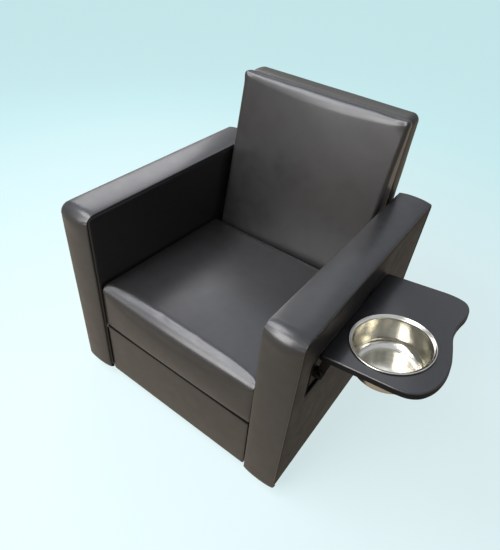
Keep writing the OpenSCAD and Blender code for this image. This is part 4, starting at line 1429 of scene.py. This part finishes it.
@dataclass
class SideTray(Assembly):
    """The folding tray board with its wavy edge and round hole."""

    fold_x: float = 389.5
    fold_z: float = 451
    tilt: float = 8.5
    inner: float = 6.19
    reach: float = 253
    start_y: float = 94
    length: float = 373
    drop: float = 64
    thick: float = 18
    bevel: float = 3.2
    bowl_x: float = 124
    bowl_y: float = 216
    hole_r: float = 90.5
    edge: tuple[tuple[float, float], ...] = (
        (0.68, 0), (0.79, 0.01), (0.875, 0.042), (0.935, 0.098), (0.972, 0.17), (0.987, 0.26),
        (0.975, 0.36), (0.935, 0.47), (0.893, 0.57), (0.878, 0.66), (0.888, 0.74), (0.905, 0.81),
        (0.9, 0.89), (0.852, 0.955), (0.76, 0.987), (0.64, 1))

    def out(self, points: Array) -> Array:
        """Drawing points from the tray's own frame: x along the reach, y, z up from the board."""
        turn = math.radians(self.tilt)
        x, y, z = points.T
        return np.column_stack((self.fold_x + x * math.cos(turn) - z * math.sin(turn), y,
                                self.fold_z + x * math.sin(turn) + z * math.cos(turn)))

    def outline(self) -> Array:
        """Edge of the board."""
        marks = np.array(self.edge) * (self.reach, self.length) + (self.inner, self.start_y)
        padded = np.vstack((marks[:1], marks, marks[-1:]))
        curve = []
        for a, b, c, d in zip(padded, padded[1:], padded[2:], padded[3:]):
            for t in np.linspace(0, 1, 6, endpoint=False):
                curve.append((2 * b + (c - a) * t + (2 * a - 5 * b + 4 * c - d) * t ** 2
                              + (3 * b - a - 3 * c + d) * t ** 3) / 2)
        front = line((self.inner, self.start_y), marks[0], 28)
        rear = line(marks[-1], (self.inner, self.start_y + self.length), 24)
        joint = line((self.inner, self.start_y + self.length), (self.inner, self.start_y), 48)
        return np.vstack((front, curve, rear, joint))

    def build(self) -> None:
        """Builds the board with its bevelled edges."""
        angles = np.radians(np.arange(0, 360, 3))
        hole = np.column_stack((self.bowl_x + self.hole_r * np.cos(angles),
                                self.bowl_y + self.hole_r * np.sin(angles)))

        def rounded(gap: Array, radius: float) -> Array:
            over = np.clip(radius - gap, 0, radius)
            return radius - np.sqrt(radius ** 2 - over ** 2)

        def top(flat: Array, edge: Array, gap: Array) -> Array:
            return self.drop + self.thick - rounded(edge, self.bevel) - rounded(gap, 1.0)

        def under(flat: Array, edge: Array, gap: Array) -> Array:
            return self.drop + rounded(edge, 2.0)

        board = Sheeted(self.outline(), (hole,), (0.25, 0.8, 1.6, 3.2, 6.0), 16)
        points, faces = board.body(top, under)
        piece = self.shop.mesh("tray_board_top", self.out(points), faces, 35)
        self.shop.dress(piece, TRAY_BLACK, "tray", ["tray_board"])
        # The board's side wall and underside get the darker black: painted shade on the faces
        # turned away from the light.
        edge = gap_to(points[:, :2], board.outline) < 0.2
        below = points[:, 2] < self.drop + self.thick - 3.3
        self.shop.second_finish(piece, TRAY_SHADED_EDGE, edge | below)


@dataclass
class Bowl(Assembly):
    """The lift-out spun bowl with its rolled rim."""

    tray: SideTray
    radius: float = 89
    depth: float = 86
    corner: float = 26
    wall: float = 1.2
    rim: float = 7
    roll: float = 2.0
    seat: float = 82.3

    def profile(self) -> Array:
        """Closed section of the wall as [radius, height] from the middle of the floor."""
        axis, dished = 0.01, 22
        inner_r, floor = self.radius - self.wall, -self.depth + self.wall
        inner_c = self.corner - self.wall
        inside_wall = np.vstack((
            line((axis, floor + 1.4), (dished, floor + 0.9), 5),
            line((dished, floor + 0.9), (inner_r - inner_c, floor), 12),
            arc((inner_r - inner_c, floor + inner_c), inner_c, -90, 0, 14),
            line((inner_r, floor + inner_c), (inner_r, -3.2), 12),
            arc((inner_r + 4, -3.2), 4, 180, 100, 6),
        ))
        roll_x, roll_z = self.radius + self.rim, self.roll
        lip = np.vstack((
            line((inner_r + 3.4, 0.9), (roll_x - 2.5, 1.9), 4),
            arc((roll_x, roll_z), self.roll, 130, -150, 14),
        ))
        outer_r = self.radius
        outside = np.vstack((
            line((outer_r + self.rim - 2, 0.2), (outer_r + 0.6, 0.2), 3),
            line((outer_r, -1), (outer_r, -self.depth + self.corner), 10),
            arc((outer_r - self.corner, -self.depth + self.corner), self.corner, 0, -90, 12),
            line((outer_r - self.corner, -self.depth), (dished, -self.depth), 8),
            line((dished, -self.depth), (axis, -self.depth + 0.6), 3),
            [(axis, -self.depth + 0.6)],
        ))
        return np.vstack((inside_wall, lip, outside))

    def build(self) -> None:
        """Builds the bowl about its own axis and sets it in the board."""
        section = self.profile()
        turns = np.radians(np.linspace(0, 360, 96, endpoint=False))
        rings = np.array([np.column_stack((section[:, 0] * math.cos(t), section[:, 0] * math.sin(t),
                                           section[:, 1])) for t in turns])
        rows, columns = rings.shape[:2]
        faces = [tuple(i % (rows * columns) for i in f)
                 for f in grid_faces(rows + 1, columns, wrap=True)]
        data = bpy.data.meshes.new("bowl_shell")
        data.from_pydata([tuple(p * MM) for p in rings.reshape(-1, 3)], [], faces)
        self.shop.cleaned(data, 0.05 * MM)
        piece = self.shop.shaded(self.shop.linked("bowl_shell", data), STRIP_SHARP)
        tray = self.tray
        centre = tray.out(np.array([[tray.bowl_x, tray.bowl_y, self.seat]]))
        turn = Matrix.Rotation(-math.radians(tray.tilt), 4, "Y")
        piece.matrix_world = Matrix.Translation(Vector(self.shop.drawing.metres(centre)[0])) @ turn
        self.shop.dress(piece, POLISHED, "bowl", ["bowl"])


# ---------------------------------------------------------------- base and carried-over nodes


@dataclass
class Base(Assembly):
    """The lower rear panel and the cloth under the seat."""

    half: float = 280
    rear: float = 748
    low: float = 27
    high: float = 210
    cloth_low: tuple[float, float] = (-278, 72)
    cloth_high: tuple[float, float] = (278, 738)
    cloth_z: float = 29.9

    def build(self) -> None:
        """Builds the base's soft pieces."""
        loop = round_loop((-self.half + 1, self.low), (self.half - 1, self.high),
                          (4, 4, 6, 6), 10)
        RearPad(self.shop, "rear_cover", "rear_panel", "root", loop, rear=self.rear, thick=9.8,
                crown=0.8, reach=70, soft=Ripple(51, 150), fill=0.5).build()
        self._dust_cloth()

    def _dust_cloth(self) -> None:
        """Builds the thin cloth stapled under the seat."""
        low, high = self.cloth_low, self.cloth_high
        slack = Ripple(53, 110)

        def upper(flat: Array, edge: Array, hole: Array) -> Array:
            return self.cloth_z - np.clip(edge / 90, 0, 1) * (0.5 + 0.25 * slack.on(flat))

        def lower(flat: Array, edge: Array, hole: Array) -> Array:
            return upper(flat, edge, hole) - 0.6

        net = Sheeted(round_loop(low, high, (5, 5, 5, 5), 14), spacing=22)
        points, faces = net.body(upper, lower)
        piece = self.shop.mesh("dust_cloth_sheet", points, faces, PANEL_SHARP)
        self.shop.dress(piece, DUST_CLOTH, "root", ["dust_cover"])


NODE_FINISHES: dict[Finish, tuple[str, ...]] = {
    TIMBER: ("left_arm_frame", "right_arm_frame", "front_stretcher", "rear_stretcher",
             "rear_upper_rail", "back_frame"),
    PLYWOOD: ("seat_board", "back_board", "legrest_board", "recess_backing"),
    FRAME_STEEL: ("seat_front_tube", "seat_rear_tube", "seat_left_tube", "seat_right_tube",
                  "seat_brackets", "recline_hinge_plates", "left_back_lever",
                  "right_back_lever", "left_recline_link", "right_recline_link",
                  "left_legrest_lever", "right_legrest_lever"),
    # Fittings in the recess and under the tray: black steel darkened with painted shade.
    BRACKET_SHADE_STEEL: ("front_wall_plate", "rear_wall_plate", "front_tray_arm", "rear_tray_arm"),
    ZINC: ("foot_screws", "back_lever_screws", "recline_pivot_bolts", "rear_link_pins",
           "front_link_pins", "legrest_pivot_pins", "tray_arm_screws"),
    BLACK_OXIDE: ("wall_plate_screws", "tray_pivot_bolts", "tray_pivot_nuts"),
    # The recess's liner and cleats are dressed in painted shade.
    RECESS_SHADE: ("recess_liner", "front_tray_cleat", "rear_tray_cleat"),
    FOOT_PLASTIC: ("feet",),
    BUSH_PLASTIC: ("legrest_bushes", "friction_washers"),
}


def dress_nodes() -> None:
    """Gives every carried-over CAD node its finish."""
    for finish, names in NODE_FINISHES.items():
        for name in names:
            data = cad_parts[name].data
            data.materials.clear()
            data.materials.append(finish.material())
            LOG.info("%s: kept from the frame, %s", name, finish.name)


# ---------------------------------------------------------------- studio


@dataclass(frozen=True)
class Lamp:
    """A soft box.

    Attributes:
        name: Name of the lamp.
        place: Where it hangs, in metres.
        aim: Point that it faces.
        size: Width and height in metres.
        power: Power in watts.
        colour: Colour of its light.
    """

    name: str
    place: Linear
    aim: Linear
    size: tuple[float, float]
    power: float
    colour: Linear

    def hang(self) -> None:
        """Adds the lamp to the scene."""
        data = bpy.data.lights.new(self.name, "AREA")
        data.shape = "RECTANGLE"
        data.size, data.size_y = self.size
        data.energy = self.power
        data.color = self.colour
        made = Workshop.linked(self.name, data)
        made.location = self.place
        way = Vector(self.aim) - Vector(self.place)
        made.rotation_euler = way.to_track_quat("-Z", "Y").to_euler()


LAMPS = (
    Lamp("front_window", (-0.6, -2.2, 1.8), (0, -0.2, 0.45), (1.3, 1.6), 60, (1.0, 0.99, 0.98)),
    Lamp("high_window", (-1.1, -0.95, 2.7), (0, -0.1, 0.5), (1.2, 1.2), 38, (0.95, 0.96, 1.0)),
    Lamp("side_window", (-1.85, 0.95, 1.75), (0, 0, 0.5), (1.3, 1.3), 15, (0.97, 0.97, 1.0)),
    Lamp("rear_window", (-0.75, 1.4, 2.35), (0.15, -0.1, 0.6), (1.1, 1.0), 3.5,
         (0.93, 0.95, 1.0)),
)


@dataclass
class Studio:
    """Camera, lamps and floor."""

    place: Linear = (0.47956, -0.95153, 1.32689)
    azimuth: float = 32.551
    elevation: float = 40.46
    roll: float = 5.963
    focal_px: float = 466.34
    image_height_px: float = 550
    film: float = 36

    def camera(self) -> None:
        """Sets the camera up."""
        data = bpy.data.cameras.new("camera")
        data.sensor_width = self.film
        data.lens = self.focal_px * self.film / self.image_height_px
        data.clip_start = 0.05
        made = Workshop.linked("camera", data)
        made.matrix_world = (Matrix.Translation(Vector(self.place))
                             @ Matrix.Rotation(math.radians(self.azimuth), 4, "Z")
                             @ Matrix.Rotation(math.radians(90 - self.elevation), 4, "X")
                             @ Matrix.Rotation(math.radians(self.roll), 4, "Z"))
        bpy.context.scene.camera = made

    @staticmethod
    def sky() -> None:
        """Soft surroundings, uneven as a room where something glossy mirrors them."""
        world = bpy.data.worlds.new("surroundings")
        bpy.context.scene.world = world
        world.use_nodes = True
        graph = Graph(world.node_tree)
        soft = graph.nodes["Background"]
        graph.fill(soft, {"Color": (0.9, 0.94, 1.0, 1), "Strength": 0.2})
        where = graph.add("TexCoord", "Generated", {})
        noise = graph.add("TexNoise", "Fac", {"Vector": where, "Scale": 2.4, "Detail": 1.0})
        height = graph.add("SeparateXYZ", "Z", {"Vector": where})
        risen = graph.math("ADD", noise, graph.math("MULTIPLY_ADD", height, 0.45, -0.26))
        room = graph.ramp(risen, (0.42, (0.28, 0.28, 0.3)), (0.6, (0.74, 0.79, 0.88)))
        mirrored = graph.add("Background", "Background", {"Color": room})
        seen = graph.add("Background", "Background", {"Color": (0.56, 0.8, 0.83, 1)})
        by_camera, by_gloss = graph.rays()
        lit = graph.mixed(by_gloss, soft.outputs["Background"], mirrored)
        graph.fill(graph.nodes["World Output"], {"Surface": graph.mixed(by_camera, lit, seen)})

    @staticmethod
    def floor() -> None:
        """Lays a wide pale floor, partly lit from within so that it stays even to the eye."""
        half = 18.0
        data = bpy.data.meshes.new("floor")
        data.from_pydata([(-half, -half, 0), (half, -half, 0), (half, half, 0), (-half, half, 0)],
                         [], [(0, 1, 2, 3)])
        made = Workshop.linked("floor", data)
        paint = bpy.data.materials.new("floor_paint")
        paint.use_nodes = True
        graph = Graph(paint.node_tree)
        shader = graph.nodes["Principled BSDF"]
        reach = graph.length(graph.add("TexCoord", "Object", {}))
        shown = graph.ramp(graph.math("MULTIPLY", reach, 0.4),
                           (0.3, (0.8, 0.95, 0.97)), (1.0, (0.68, 0.97, 1.0)))
        by_camera, by_gloss = graph.rays()
        colour = graph.add("Mix", "Result", {"Factor": by_camera, "A": (0.48, 0.42, 0.34, 1),
                                             "B": shown}, data_type="RGBA")
        graph.fill(shader, {"Base Color": colour, "Roughness": 0.85, "Specular IOR Level": 0.2})
        glow = graph.add("Emission", "Emission", {"Color": colour})
        share = graph.math("MULTIPLY", graph.math("MAXIMUM", by_camera, by_gloss), 0.76)
        both = graph.mixed(share, shader.outputs["BSDF"], glow)
        graph.fill(graph.nodes["Material Output"], {"Surface": both})
        data.materials.append(paint)

    def build(self) -> None:
        """Builds the studio."""
        self.camera()
        for lamp in LAMPS:
            lamp.hang()
        self.sky()
        self.floor()
        bpy.context.scene.view_settings.view_transform = "Standard"


def main() -> None:
    """Builds the studio and each sub-assembly in order."""
    logging.basicConfig(level=logging.INFO, format="%(name)s: %(message)s")
    Studio().build()
    shop = Workshop(Drawing.of_frame())
    dress_nodes()
    tray = SideTray(shop)
    for assembly in (Arm(shop, Side.LEFT), Arm(shop, Side.RIGHT), Seat(shop), Back(shop),
                     LegRest(shop), tray, Bowl(shop, tray), Base(shop)):
        assembly.build()


if __name__ == "__main__":
    main()
